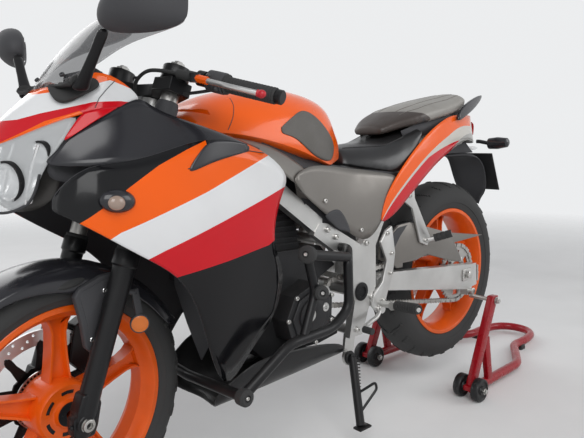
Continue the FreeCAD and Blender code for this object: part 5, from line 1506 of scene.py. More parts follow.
    def tank(self) -> None:
        """Make the tank with its knee pads, joint line, filler cap and the cap's screws."""
        sections = [
            [(262, 0, 884), (262, 60, 882), (262, 104, 868), (262, 112, 852), (262, 60, 846), (262, 0, 846)],
            [(330, 0, 934), (330, 70, 928), (330, 122, 896), (330, 146, 858), (330, 90, 830), (330, 0, 830)],
            [(430, 0, 968), (430, 80, 954), (430, 134, 904), (430, 152, 846), (430, 110, 812), (430, 0, 812)],
            [(560, 0, 984), (560, 84, 962), (560, 136, 902), (560, 142, 820), (560, 100, 800), (560, 0, 800)],
            [(690, 0, 974), (690, 76, 946), (690, 118, 880), (690, 124, 776), (690, 80, 770), (690, 0, 770)],
            [(782, 0, 938), (782, 44, 920), (782, 74, 866), (782, 68, 792), (782, 40, 782), (782, 0, 782)],
        ]
        raw = Build()
        raw.loft(rings_across(sections))
        bmesh.ops.recalc_face_normals(raw.bm, faces=raw.bm.faces)
        raw.crease(25, 0.75, 870)
        shape = raw.piece("tank_form", Finishes.TANK, smooth=3)
        baked(shape)
        body = Build()
        body.bm.from_mesh(shape.data)
        bpy.data.objects.remove(shape)
        for corners, low, high, height in self.steering_room():
            room = Build()
            room.plate([on_axis(height, low, back, y) for back, y in corners],
                       Vector(on_axis(height, high)) - Vector(on_axis(height, low)))
            body = carved(body, room)
        skin = body.piece("tank_shell", Finishes.TANK, replaces=["fuel_tank"])
        seams = Build()
        for side in Side:
            seams.tube(traced(skin, [(398, 0, 936), (388, 0, 916), (368, 0, 888), (346, 0, 862)], side), 0.9, sides=8)
        pads = both_sides([
            [(502, 140, 872), (552, 140, 899), (600, 130, 921), (648, 120, 905), (692, 110, 868)],
            [(502, 140, 868), (556, 140, 886), (606, 130, 897), (656, 120, 878), (718, 110, 846)],
            [(502, 140, 862), (562, 140, 864), (612, 130, 860), (664, 120, 842), (730, 110, 818)],
            [(504, 140, 856), (548, 140, 850), (588, 130, 822), (640, 120, 792), (702, 110, 786)],
        ])
        settle(sheet("knee_pads", Finishes.KNEE_PAD, *pads, smooth=3), skin, 1.8, 1.6)
        seams.piece("tank_seams", Finishes.MATT_BLACK)
        cap = Build()
        cap.lathe([(-10, 0.001), (-10, 46), (2, 46), (4, 44), (5, 40), (5, 34), (3.4, 33), (3.4, 20), (6, 18),
                   (6, 0.001)], (500, 0, 970), (-0.12, 0, 1), 48, closed=False)
        cap.piece("filler_cap", Finishes.ALLOY)
        key = Build()
        for index in range(6):
            turn = math.tau * index / 6
            key.bolt((500 + 38 * math.cos(turn), 38 * math.sin(turn), 975 + 4.6 * math.cos(turn)), (-0.12, 0, 1), 3.6)
        key.piece("filler_screws", Finishes.ZINC)

    def covers(self) -> None:
        """Make the silver side covers under the seat and beside the tank, with a dark recess on each."""
        rows = [
            [(499, 182, 756), (591, 152, 788), (750, 128, 768), (800, 118, 766), (890, 126, 754), (985, 132, 744)],
            [(520, 178, 735), (610, 152, 720), (720, 142, 692), (800, 138, 682), (866, 137, 692), (930, 136, 696)],
            [(540, 172, 718), (625, 152, 668), (692, 144, 630), (762, 140, 588), (824, 139, 560), (890, 137, 606)],
        ]
        flank = [
            [(338, 152, 846), (400, 158, 840), (470, 156, 822), (530, 150, 796), (580, 146, 770)],
            [(340, 168, 845), (400, 176, 828), (462, 176, 800), (520, 168, 774), (570, 156, 752)],
            [(344, 186, 826), (400, 190, 804), (452, 186, 776), (508, 178, 744), (560, 164, 722)],
        ]
        recess = [
            [(636, 149, 652), (668, 149, 662), (704, 146, 668)],
            [(668, 147, 632), (704, 146, 640), (736, 144, 630)],
            [(704, 145, 606), (730, 144, 604), (757, 143, 590)],
        ]
        upper = [
            [(440, 142, 836), (600, 116, 796), (780, 112, 768), (1000, 118, 750)],
            [(450, 148, 790), (600, 128, 750), (780, 116, 730), (980, 120, 722)],
        ]
        lower = [
            [(580, 128, 700), (660, 126, 680), (780, 124, 660)],
            [(620, 124, 640), (700, 122, 590), (800, 120, 560)],
        ]
        outer = [flipped(part, side) for side in Side for part in (rows, flank)]
        inner = [flipped(part, side) for side in Side for part in (upper, lower)]
        skin = sheet("covers", Finishes.SILVER, *outer, replaces=["side_covers"], wall=self.wall, smooth=2)
        settle(sheet("cover_recesses", Finishes.MATT_BLACK, *both_sides(recess), smooth=2), skin, 1.2, 2.0)
        sheet("cover_linings", Finishes.MATT_BLACK, *inner, wall=1.5)
        bolts = Build()
        for side in Side:
            for place in traced(skin, [(796, 0, 600), (640, 0, 690)], side, 2):
                bolts.bolt(place, (0, side.value, 0), 6)
        bolts.piece("cover_bolts", Finishes.ZINC)

    @staticmethod
    def steering_room() -> list[tuple[list[tuple[float, float]], float, float, float]]:
        """Return what the tank leaves free for the yoke, the legs and the head tube.

        Returns:
            For each room its corners behind and beside the steering axis, its ends along the axis and the
            height that they are counted from.
        """
        yoke = [(-160, -150), (79, -150), (79, -92), (58, -57), (51.5, 0), (58, 57), (79, 92), (79, 150), (-160, 150)]
        leg = [(-160, 72), (26, 74), (46, 82), (52, 101), (46, 120), (26, 128), (-160, 130)]
        head = [(38 * math.cos(math.tau * step / 24), 38 * math.sin(math.tau * step / 24)) for step in range(24)]
        return [(yoke, -6, 90, TOP_YOKE), (leg, 20, 250, 700), ([(x, -y) for x, y in leg], 20, 250, 700),
                (head, 15, 240, 700)]

    def build(self) -> None:
        """Make every piece of the bodywork."""
        self.sides()
        self.nose()
        self.screen()
        self.inner_cowls()
        self.belly()
        self.tank()
        self.covers()


@dataclass
class Lamps:
    """The headlight, the turn signals and the tail lamp."""

    def headlight(self) -> None:
        """Make the clear lens with its bowls and the bright housing behind it."""
        half = [
            [(-122, 0, 821.4), (-96, 50, 827.4), (-38, 92, 861.4), (32, 130, 891)],
            [(-136, 0, 780), (-112, 50, 785), (-56, 96, 806), (-16, 133, 838)],
            [(-130, 0, 735), (-118, 45, 730), (-84, 90, 742), (-55, 118, 775)],
            [(-112, 0, 705), (-104, 40, 702), (-84, 74, 708), (-58, 100, 728)],
        ]
        sheet("headlight_lens", Finishes.LENS, across(half), replaces=["headlight"], wall=2.0, smooth=2)
        back = across([[(x + 40, y * 0.95, z) for x, y, z in row] for row in half])
        sheet("headlight_back", Finishes.BOWL, back, wall=2.0, smooth=2)
        bowls, rings, bulbs, fins = Build(), Build(), Build(), Build()
        for side in Side:
            s = side.value
            for x, y, z, size in ((-92, 62, 762, 34), (-44, 98, 812, 20)):
                facing = (1.0, -0.35 * s, 0.06)
                bowls.lathe([(0, size), (8, size * 0.9), (18, size * 0.62), (25, size * 0.28), (26, 3)],
                            (x, y * s, z), facing, 36, closed=False)
                rings.lathe([(-1, size + 4), (8, size + 4), (8, size), (-1, size)], (x, y * s, z), facing, 36)
                bulbs.ball((x + 12, (y - 4) * s, z + 1), (8, 8, 8))
            for x, y in ((-70, 88), (-96, 36)):
                fins.tube([(x, y * s, 722), (x + 4, (y + 6) * s, 770), (x + 24, (y + 10) * s, 828)], 3.2, sides=10,
                          soft=True)
            fins.panel([[(-78, 78 * s, 716), (-62, 96 * s, 724)], [(-66, 86 * s, 770), (-46, 106 * s, 782)]])
        fins.panel([[(-116, -14, 716), (-116, 14, 716)], [(-118, -10, 760), (-118, 10, 760)],
                    [(-108, -4, 812), (-108, 4, 812)]])
        fins.piece("headlight_fins", Finishes.ALLOY_BRIGHT, wall=1.5)
        bowls.piece("headlight_bowls", Finishes.REFLECTOR)
        rings.piece("headlight_rings", Finishes.CARRIER)
        bulbs.piece("headlight_bulbs", Finishes.LENS)
        rim = Build()
        for side in Side:
            edge = flipped([[(-112, 0, 706), (-104, 40, 703), (-84, 74, 709), (-58, 100, 729), (-54, 118, 776)]], side)
            rim.tube(edge[0], 2.6, sides=12, soft=True)
        rim.piece("headlight_rim", Finishes.MATT_BLACK)

    def signals(self) -> None:
        """Make the four turn signals, the tail lamp and the plate lamp."""
        shells, lenses = Build(), Build()
        lean = Matrix.Rotation(math.radians(6), 4, "Y")
        for side in Side:
            s = side.value
            shells.ball((42, 219 * s, 730), (34, 16, 21), lean, 36)
            lenses.ball((34, 231 * s, 728), (16, 9, 13), lean, 28)
            shells.tube([(1522.7, 61.2 * s, 846), (1525.6, 72 * s, 846), (1514, 122 * s, 838)], 7, bend=5)
            shells.lathe([(0, 0.001), (0, 12), (4, 19), (36, 21), (70, 16), (74, 11), (75, 0.001)],
                         (1512, 114 * s, 838), (0, 1 * s, 0.05), 24, closed=False)
            lenses.ball((1526, 152 * s, 841), (9, 30, 14))
        shells.piece("signal_shells", Finishes.GLOSS_BLACK, replaces=["signal_lights"])
        lenses.piece("signal_lenses", Finishes.SIGNAL)
        red = [
            [(1538, -36, 918), (1540, 0, 922), (1538, 36, 918)],
            [(1548, -34, 902), (1552, 0, 904), (1548, 34, 902)],
            [(1550, -32, 884), (1555, 0, 884), (1550, 32, 884)],
            [(1542, -36, 860), (1546, 0, 858), (1542, 36, 860)],
        ]
        sheet("tail_lens", Finishes.RED_LENS, red, smooth=1)
        plate = Build()
        plate.ball((1592, 0, 822), (20, 24, 8))
        plate.piece("plate_lamp", Finishes.LENS)

    def build(self) -> None:
        """Make every lamp."""
        self.headlight()
        self.signals()


@dataclass
class Tail:
    """The tail's panels, its grab rails and the mudguard with the blank plate."""

    def cowl(self) -> None:
        """Make the tail's side panels as bands that run along it, joined round its end."""
        columns = (
            ((1536, 0, 932), (1542, 0, 890), (1546, 0, 842)),
            ((1496, 66, 936), (1508, 64, 884), (1532, 58, 838)),
            ((1330, 95, 935.6), (1372, 100, 900), (1424, 86, 858)),
            ((1250, 107, 920.2), (1275, 114, 878), (1304, 108, 826)),
            ((1140, 119, 874), (1165, 125, 828), (1180, 124, 778)),
            ((1052, 126, 816), (1078, 131, 776), (1100, 131, 731)),
            ((966, 137, 753), (985, 139, 712), (1004, 137, 669)),
            ((903, 139, 687), (922, 141, 660), (945, 139, 629)),
            ((884, 139, 622), (888, 140, 617), (894, 139, 612)),
        )
        rows = []
        for level in (2, 1, 0):
            half = [column[level] for column in columns]
            rows.append([(x, -y, z) for x, y, z in reversed(half[1:])] + half)
        sheet("tail_panels", Finishes.TAIL, rows, replaces=["tail_cowl"], wall=3.0, smooth=2)

    def rails(self) -> None:
        """Make the two grab-rail blades."""
        blades = both_sides([
            [(1312, 114.2, 908), (1376, 109, 934), (1455, 91, 962), (1526, 72, 996)],
            [(1314, 114, 920), (1364, 108.6, 950), (1448, 92, 978), (1526, 73, 1006)],
            [(1317, 112.6, 930), (1353, 107, 962), (1440, 91, 992), (1526, 72, 1012)],
        ])
        sheet("rails", Finishes.GLOSS_BLACK, *blades, replaces=["grab_rails"], wall=9.0, smooth=2)

    def mudguard(self) -> None:
        """Make the under-tail box, the flap and the blank plate with its grooves."""
        stations = ((1340, 800, 50), (1430, 806, 54), (1530, 804, 62), (1572, 772, 74), (1612, 672, 66),
                    (1626, 646, 34), (1643, 612, 14))
        rows = across([[(x, 0, z), (x, half * 0.5, z), (x, half * 0.86, z), (x - 7, half, z - 7)]
                       for x, z, half in stations])
        sheet("flap", Finishes.MATT_BLACK, rows, replaces=["rear_fender"], wall=3.0, smooth=2)
        box = Build()
        box.slab([(1344, 802), (1364, 837.7), (1384, 837.7), (1401, 848), (1459, 850), (1524, 806)], -51.5, 51.5, 5, 3)
        box.slab([(1583, 742), (1622, 742), (1642, 700), (1600, 700)], -30, 30, 3)
        box.piece("under_tail_box", Finishes.MATT_BLACK)
        plate = Build()
        plate.slab([(1592, 802), (1596, 804), (1662, 667), (1658, 665)], -85, 85, 1.2)
        for index in range(8):
            share = (index + 1) / 9
            x, z = 1595 + 65 * share, 802 - 136 * share
            plate.slab([(x, z), (x + 2.4, z + 1.2), (x + 5.4, z - 5), (x + 3, z - 6.2)], -78, 78, 0.6)
        plate.piece("blank_plate", Finishes.PLATE)

    def build(self) -> None:
        """Make every piece of the tail."""
        self.cowl()
        self.rails()
        self.mudguard()


@dataclass
class Cockpit:
    """The instruments and the mirrors."""

    def cluster(self) -> None:
        """Make the instrument housing with its dial and display."""
        work = Build()
        work.slab([(58, 884.3), (104, 871.8), (128, 950), (76, 980)], -76, 76, 8, 3)
        work.piece("cluster_housing", Finishes.MATT_BLACK, replaces=["instrument_cluster"])
        face = Build()
        face.plate([(131, -62, 940), (110, -62, 884), (110, 62, 884), (131, 62, 940)], (1.5, 0, -0.6), 0.8)
        face.lathe([(0, 33), (3, 33), (4, 31), (4, 0.001)], (121, -20, 914), (0.93, 0, -0.36), 40, closed=False)
        face.piece("cluster_face", Finishes.GLOSS_BLACK)
        ring = Build()
        ring.lathe([(2, 35), (6, 35), (6, 32.4), (2, 32.4)], (121, -20, 914), (0.93, 0, -0.36), 40)
        for index in range(11):
            turn = math.radians(130 + index * 28)
            place = Vector((121, -20, 914)) + Vector((0.93, 0, -0.36)) * 4
            place += Vector((0, math.cos(turn), 0)) * 27 + Vector((0.36, 0, 0.93)) * 27 * math.sin(turn)
            ring.ball(place, (1.4, 1.4, 1.4))
        ring.piece("cluster_ring", Finishes.ALLOY)

    def mirrors(self) -> None:
        """Make the mirror pods on their flat stalks and lobed feet."""
        pods, glass, stalks, feet, bolts = Build(), Build(), Build(), Build(), Build()
        for side in Side:
            s = side.value
            rings = []
            for y, low, high, front, back in ((206, 1028, 1048, 26, 40), (216, 1019, 1066, 14, 50),
                                              (248, 1011, 1088, 4, 62), (294, 1006, 1103, 8, 76),
                                              (336, 1008, 1104, 32, 94), (356, 1018, 1094, 62, 104),
                                              (363, 1034, 1080, 84, 104)):
                middle = (low + high) / 2
                tall = (high - low) / 2
                rings.append([(x, y * s, z) for x, z in (
                    (back, middle - tall * 0.92), (back, middle), (back, middle + tall * 0.92),
                    ((front + back) / 2 - 2, high), (front, middle + tall * 0.55), (front, middle - tall * 0.5),
                    ((front + back) / 2 + 2, low))])
            pods.loft(rings)
            glass.panel([
                [(50.5, 226 * s, 1018), (72, 290 * s, 1020), (98, 346 * s, 1034)],
                [(52.5, 222 * s, 1040), (73, 290 * s, 1058), (98.5, 350 * s, 1064)],
                [(54, 228 * s, 1062), (75, 290 * s, 1092), (98.5, 346 * s, 1090)],
            ])
            foot, top = Vector((20, 130 * s, 926)), Vector((32, 214 * s, 1026))
            wide, thick = Vector((0.5, 0, 0)), Vector((0, 0.38 * s, -0.325))
            stalks.loft([[foot.lerp(top, share) + wide * w * a + thick * h * b for a, b in
                          ((1, 0), (0.6, 1), (-0.6, 1), (-1, 0), (-0.6, -1), (0.6, -1))]
                         for share, w, h in ((0.0, 44, 18), (0.12, 32, 14), (0.4, 25, 12), (0.75, 22, 12),
                                             (1.0, 28, 16))])
            feet.panel(flipped([
                [(2, 132, 950), (16, 132, 955), (36, 132, 952), (54, 136, 950)],
                [(-2, 130, 934), (16, 130, 936), (36, 132, 938), (62, 136, 942)],
                [(-8, 126, 912), (4, 126, 900), (28, 128, 916), (56, 134, 932)],
            ], side))
            for x, z in ((4, 914), (48, 940)):
                bolts.bolt((x, self.nose_y(x, z, side), z), (-0.2, 0.74 * s, 0.64), 5.5)
        pods.piece("mirror_pods", Finishes.MATT_BLACK, replaces=["mirrors"], smooth=2)
        glass.piece("mirror_glass", Finishes.MIRROR, smooth=2)
        stalks.piece("mirror_stalks", Finishes.BLACK_METAL, smooth=2)
        settle(feet.piece("mirror_feet", Finishes.RUBBER, smooth=3), bpy.data.objects["nose"], 6.0, 8.0)
        bolts.piece("mirror_bolts", Finishes.CARRIER)

    @staticmethod
    def nose_y(x: float, z: float, side: Side) -> float:
        """Return y of a mirror foot's outer face over the nose."""
        place = traced(bpy.data.objects["nose"], [(x, 0, z), (x + 0.1, 0, z)], side, 2)
        return place[0][1] + 6 * side.value if place else 130.0 * side.value

    def build(self) -> None:
        """Make every piece of the cockpit."""
        self.cluster()
        self.mirrors()


@dataclass
class Seats:
    """The rider's seat and the pillion's pad, swollen a little as foam under vinyl is.

    Attributes:
        voxel: size of the mesh that the cloth run works on, in metres.
        cap: how far a point may move in the run, in metres.
        pressure: pressure inside the pad.
        calm: rounds of smoothing that take the wrinkles out of the taut vinyl.
    """

    voxel: float = 0.005
    cap: float = 0.004
    pressure: float = 1.5
    calm: int = 14

    def swell(self, item: bpy.types.Object) -> None:
        """Remesh a pad evenly, blow it up with a short cloth run and hold each point near its start."""
        modify(item, "even", "REMESH", mode="VOXEL", voxel_size=self.voxel)
        modify(item, "even_out", "SMOOTH", iterations=6)
        baked(item)
        start = [vert.co.copy() for vert in item.data.vertices]
        cloth = item.modifiers.new("cloth", "CLOTH")
        vinyl = cloth.settings
        vinyl.use_pressure = True
        vinyl.uniform_pressure_force = self.pressure
        vinyl.effector_weights.gravity = 0.0
        vinyl.bending_stiffness = 6.0
        vinyl.tension_stiffness = 40.0
        vinyl.air_damping = 6.0
        cloth.point_cache.frame_start = 1
        cloth.point_cache.frame_end = 20
        for frame_number in range(1, 21):
            bpy.context.scene.frame_set(frame_number)
        baked(item)
        bpy.context.scene.frame_set(1)
        for vert, home in zip(item.data.vertices, start):
            moved = vert.co - home
            if moved.length > self.cap:
                vert.co = home + moved * (self.cap / moved.length)
        modify(item, "taut", "SMOOTH", iterations=self.calm)
        baked(item)
        for face in item.data.polygons:
            face.use_smooth = True
        modify(item, "finer", "SUBSURF", levels=1, render_levels=1)

    def pad(self, name: str, node: str, half_rings: Sequence[Row], finish: Finish, inset: float) -> bpy.types.Object:
        """Make one pad.

        Args:
            name: its name.
            node: the CAD node that it stands for.
            half_rings: half sections from the top middle to the bottom middle.
            finish: its vinyl.
            inset: how much smaller than the sections it starts, in millimetres.

        Returns:
            The pad.
        """
        work = Build()
        work.loft(rings_across(half_rings))
        bmesh.ops.recalc_face_normals(work.bm, faces=work.bm.faces)
        work.crease(50, 0.55)
        for vert in work.bm.verts:
            vert.co -= vert.normal * inset / 1000
        item = work.piece(name, finish, replaces=[node], outward=False)
        modify(item, "rounder", "SUBSURF", levels=3, render_levels=3)
        baked(item)
        self.swell(item)
        return item

    def rider(self) -> None:
        """Make the rider's seat with its piping."""
        rings = [
            [(806, 0, 826), (806, 46, 822), (800, 70, 796), (790, 76, 775), (790, 0, 775)],
            [(868, 0, 834), (868, 62, 828), (862, 96, 800), (850, 104, 764), (850, 0, 764)],
            [(960, 0, 838), (960, 92, 832), (958, 124, 800), (944, 127, 750), (944, 0, 750)],
            [(1046, 0, 864), (1046, 96, 860), (1050, 124, 836), (1014, 126, 750), (1014, 0, 750)],
            [(1118, 0, 896), (1120, 86, 894), (1124, 116, 880), (1066, 122, 776), (1066, 0, 776)],
        ]
        skin = self.pad("rider_pad", "rider_seat", rings, Finishes.VINYL, 1.0)
        seams = Build()
        line = [(826, 40, 0), (880, 58, 0), (960, 84, 0), (1040, 88, 0), (1084, 78, 0)]
        for side in Side:
            seams.tube(traced(skin, line, side, above=True), 1.6, sides=8)
        seams.piece("rider_piping", Finishes.VINYL)

    def pillion(self) -> None:
        """Make the pillion's pad with its ribs and its skirt."""
        rings = [
            [(980, 0, 888), (980, 44, 882), (980, 56, 871), (984, 50, 856), (984, 0, 856)],
            [(1046, 0, 924), (1046, 72, 918), (1046, 98, 904), (1050, 90, 880), (1050, 0, 880)],
            [(1130, 0, 962), (1130, 92, 950), (1130, 122, 926), (1130, 118, 900), (1130, 0, 900)],
            [(1300, 0, 996), (1300, 84, 984), (1300, 108, 958), (1300, 100, 930), (1300, 0, 930)],
            [(1412, 0, 1014), (1412, 60, 1007), (1412, 84, 988), (1406, 76, 952), (1406, 0, 952)],
        ]
        # The pad's pale top is a painted sheen on black vinyl.
        skin = self.pad("pillion_pad", "pillion_seat", rings, Finishes.PILLION_PAINTED_SHEEN, 1.0)
        work = Build()
        for line in ([(1060, 62, 0), (1130, 80, 0), (1300, 74, 0), (1396, 54, 0)],
                     [(1080, 34, 0), (1140, 44, 0), (1300, 40, 0), (1396, 30, 0)]):
            for side in Side:
                work.tube(traced(skin, line, side, above=True), 1.3, sides=8)
        # The ribs are painted pale as a painted sheen on black vinyl.
        work.piece("pillion_piping", Finishes.VINYL_PAINTED_SHEEN)
        skirts = both_sides([
            [(1040, 84, 874), (1130, 96, 902), (1300, 88, 934), (1410, 66, 956)],
            [(1060, 84, 846), (1150, 96, 862), (1300, 88, 890), (1410, 60, 908)],
        ])
        sheet("pillion_skirt", Finishes.MATT_BLACK, *skirts, wall=1.5)

    def build(self) -> None:
        """Make both seats."""
        self.rider()
        self.pillion()


@dataclass
class Drive:
    """The chain, its sprockets, the guard and the swingarm.

    Attributes:
        front, rear: x, z and radius of both sprockets' pitch circles.
        pitch: the chain's pitch.
        line: y of the chain's middle.
    """

    front: Point = (745.0, 424.0, 37.0)
    rear: Point = (1370.0, 390.0, 97.0)
    pitch: float = 15.875
    line: float = -86.0

    def loop(self) -> list[tuple[float, float, float]]:
        """Return x, z and slope of each link's middle round both sprockets."""
        (x0, z0, r0), (x1, z1, r1) = self.front, self.rear
        distance = math.hypot(x1 - x0, z1 - z0)
        slope = math.atan2(z1 - z0, x1 - x0)
        lean = math.asin((r1 - r0) / distance)
        run = distance * math.cos(lean)
        total = 2 * run + r1 * (math.pi + 2 * lean) + r0 * (math.pi - 2 * lean)
        count = 2 * round(total / self.pitch / 2)
        links = []
        for index in range(count):
            way = total * index / count
            if way < run:
                angle = slope + math.pi / 2 + lean
                x = x0 + r0 * math.cos(angle) + way * math.cos(slope + lean)
                z = z0 + r0 * math.sin(angle) + way * math.sin(slope + lean)
                links.append((x, z, slope + lean))
            elif way < run + r1 * (math.pi + 2 * lean):
                angle = slope + math.pi / 2 + lean - (way - run) / r1
                links.append((x1 + r1 * math.cos(angle), z1 + r1 * math.sin(angle), angle - math.pi / 2))
            elif way < 2 * run + r1 * (math.pi + 2 * lean):
                left = way - run - r1 * (math.pi + 2 * lean)
                angle = slope - math.pi / 2 - lean
                x = x1 + r1 * math.cos(angle) - left * math.cos(slope - lean)
                z = z1 + r1 * math.sin(angle) - left * math.sin(slope - lean)
                links.append((x, z, slope - lean))
            else:
                angle = slope - math.pi / 2 - lean - (way - 2 * run - r1 * (math.pi + 2 * lean)) / r0
                links.append((x0 + r0 * math.cos(angle), z0 + r0 * math.sin(angle), angle - math.pi / 2))
        return links

    def chain(self) -> None:
        """Make the chain link by link."""
        work = Build()
        half = self.pitch / 2
        for index, (x, z, slope) in enumerate(self.loop()):
            outer = index % 2 == 0
            near, far = (4.9, 6.6) if outer else (3.1, 4.7)
            shape = ((-half - 4.6, 0), (-half - 2.4, 6.2), (-half + 2.6, 7.2), (0, 4.4), (half - 2.6, 7.2),
                     (half + 2.4, 6.2), (half + 4.6, 0), (half + 2.4, -6.2), (half - 2.6, -7.2), (0, -4.4),
                     (-half + 2.6, -7.2), (-half - 2.4, -6.2))
            cosine, sine = math.cos(slope), math.sin(slope)
            outline = [(x + a * cosine - b * sine, z + a * sine + b * cosine) for a, b in shape]
            for low in (near, -far):
                work.slab(outline, self.line + low, self.line + low + far - near)
            work.lathe([(-6.9, 0.001), (-6.9, 2.6), (6.9, 2.6), (6.9, 0.001)] if outer else
                       [(-3.0, 0.001), (-3.0, 4.6), (3.0, 4.6), (3.0, 0.001)],
                       (x + half * cosine, self.line, z + half * sine), (0, 1, 0), 8, closed=False)
        work.piece("chain_links", Finishes.CHAIN, replaces=["chain"])

    def sprocket(self) -> None:
        """Make the toothed rear sprocket with its holes and bolts."""
        ring, teeth, holes, bolts = Build(), Build(), Build(), Build()
        x, _, z = REAR_AXLE
        low = self.line - 2.6
        ring.lathe([(low, 40), (low, 90.5), (low + 5.2, 90.5), (low + 5.2, 40)], (x, 0, z), (0, 1, 0), 76)
        holes.slab([(x - 13, z + 58), (x - 17, z + 78), (x + 17, z + 78), (x + 13, z + 58)], low - 2, low + 8, 2)
        repeat_round(holes, 6, REAR_AXLE)
        carved(ring, holes).piece("sprocket_disc", Finishes.CHAIN, Body.REAR_WHEEL, replaces=["rear_sprocket"])
        teeth.slab([(x - 5.4, z + 90), (x - 1.8, z + 99), (x + 1.8, z + 99), (x + 5.4, z + 90)], low + 0.4, low + 4.8)
        repeat_round(teeth, 38, REAR_AXLE)
        teeth.piece("sprocket_teeth", Finishes.CHAIN, Body.REAR_WHEEL)
        bolts.bolt((x + 24, low, z + 46), (0, -1, 0), 7, False)
        repeat_round(bolts, 5, REAR_AXLE)
        bolts.piece("sprocket_nuts", Finishes.ZINC, Body.REAR_WHEEL)

    def swingarm(self) -> None:
        """Dress the swingarm with its adjusters, axle nuts and lift spools."""
        refine("swingarm", Finishes.ALLOY, 3.0)
        nuts, plates = Build(), Build()
        x, _, z = REAR_AXLE
        for side in Side:
            s = side.value
            plates.slab([(x - 24, z + 20), (x + 34, z + 20), (x + 34, z - 22), (x - 24, z - 22)], 128.2 * s,
                        132.5 * s, 1.6)
            plates.slab([(x + 73, z + 24), (x + 78, z + 24), (x + 82, z - 34), (x + 76, z - 34)], 120 * s, 130 * s, 1.2)
            nuts.bolt((x, 132.5 * s, z), (0, s, 0), 13, False)
            nuts.bolt((x + 79, 124 * s, z - 4), (1, 0, 0), 5, False)
            nuts.lathe([(0, 12), (3, 12), (3.5, 8), (13, 8), (13.5, 12), (16, 12), (17, 10.5), (17, 0.001)],
                       (1398, 127 * s, 328), (0, s, 0), 24, closed=False)
        plates.piece("chain_adjusters", Finishes.ZINC)
        nuts.piece("axle_nuts", Finishes.ZINC)

    def guard(self) -> None:
        """Make the chain guard, with a shadow painted black on its front upper part."""
        outline = [(905, 500), (905, 534), (994, 592), (1053, 597), (1266, 545), (1490, 515), (1305, 506), (1352, 450),
                   (1352, 437), (1322, 439), (1290, 446), (1147, 486), (1090, 474), (1020, 474), (1020, 461),
                   (990, 462), (974, 474)]
        work = Build()
        work.slab(outline, -119, -111, 2.4, 2)
        work.piece("guard_plate", Finishes.SILVER, replaces=["chain_guard"])
        # Painted shadow: a black wedge on the guard's front upper part, where the parts above and in front of it shade
        # it.
        dark = Build()
        dark.slab([(909, 505), (909, 531), (990, 586), (1034, 590), (1000, 560), (968, 520), (960, 500)], -121.4,
                  -118.4, 1.0)
        dark.piece("guard_painted_shadow", Finishes.MATT_BLACK)

    def build(self) -> None:
        """Make every piece of the drive."""
        self.chain()
        self.sprocket()
        self.swingarm()
        self.guard()


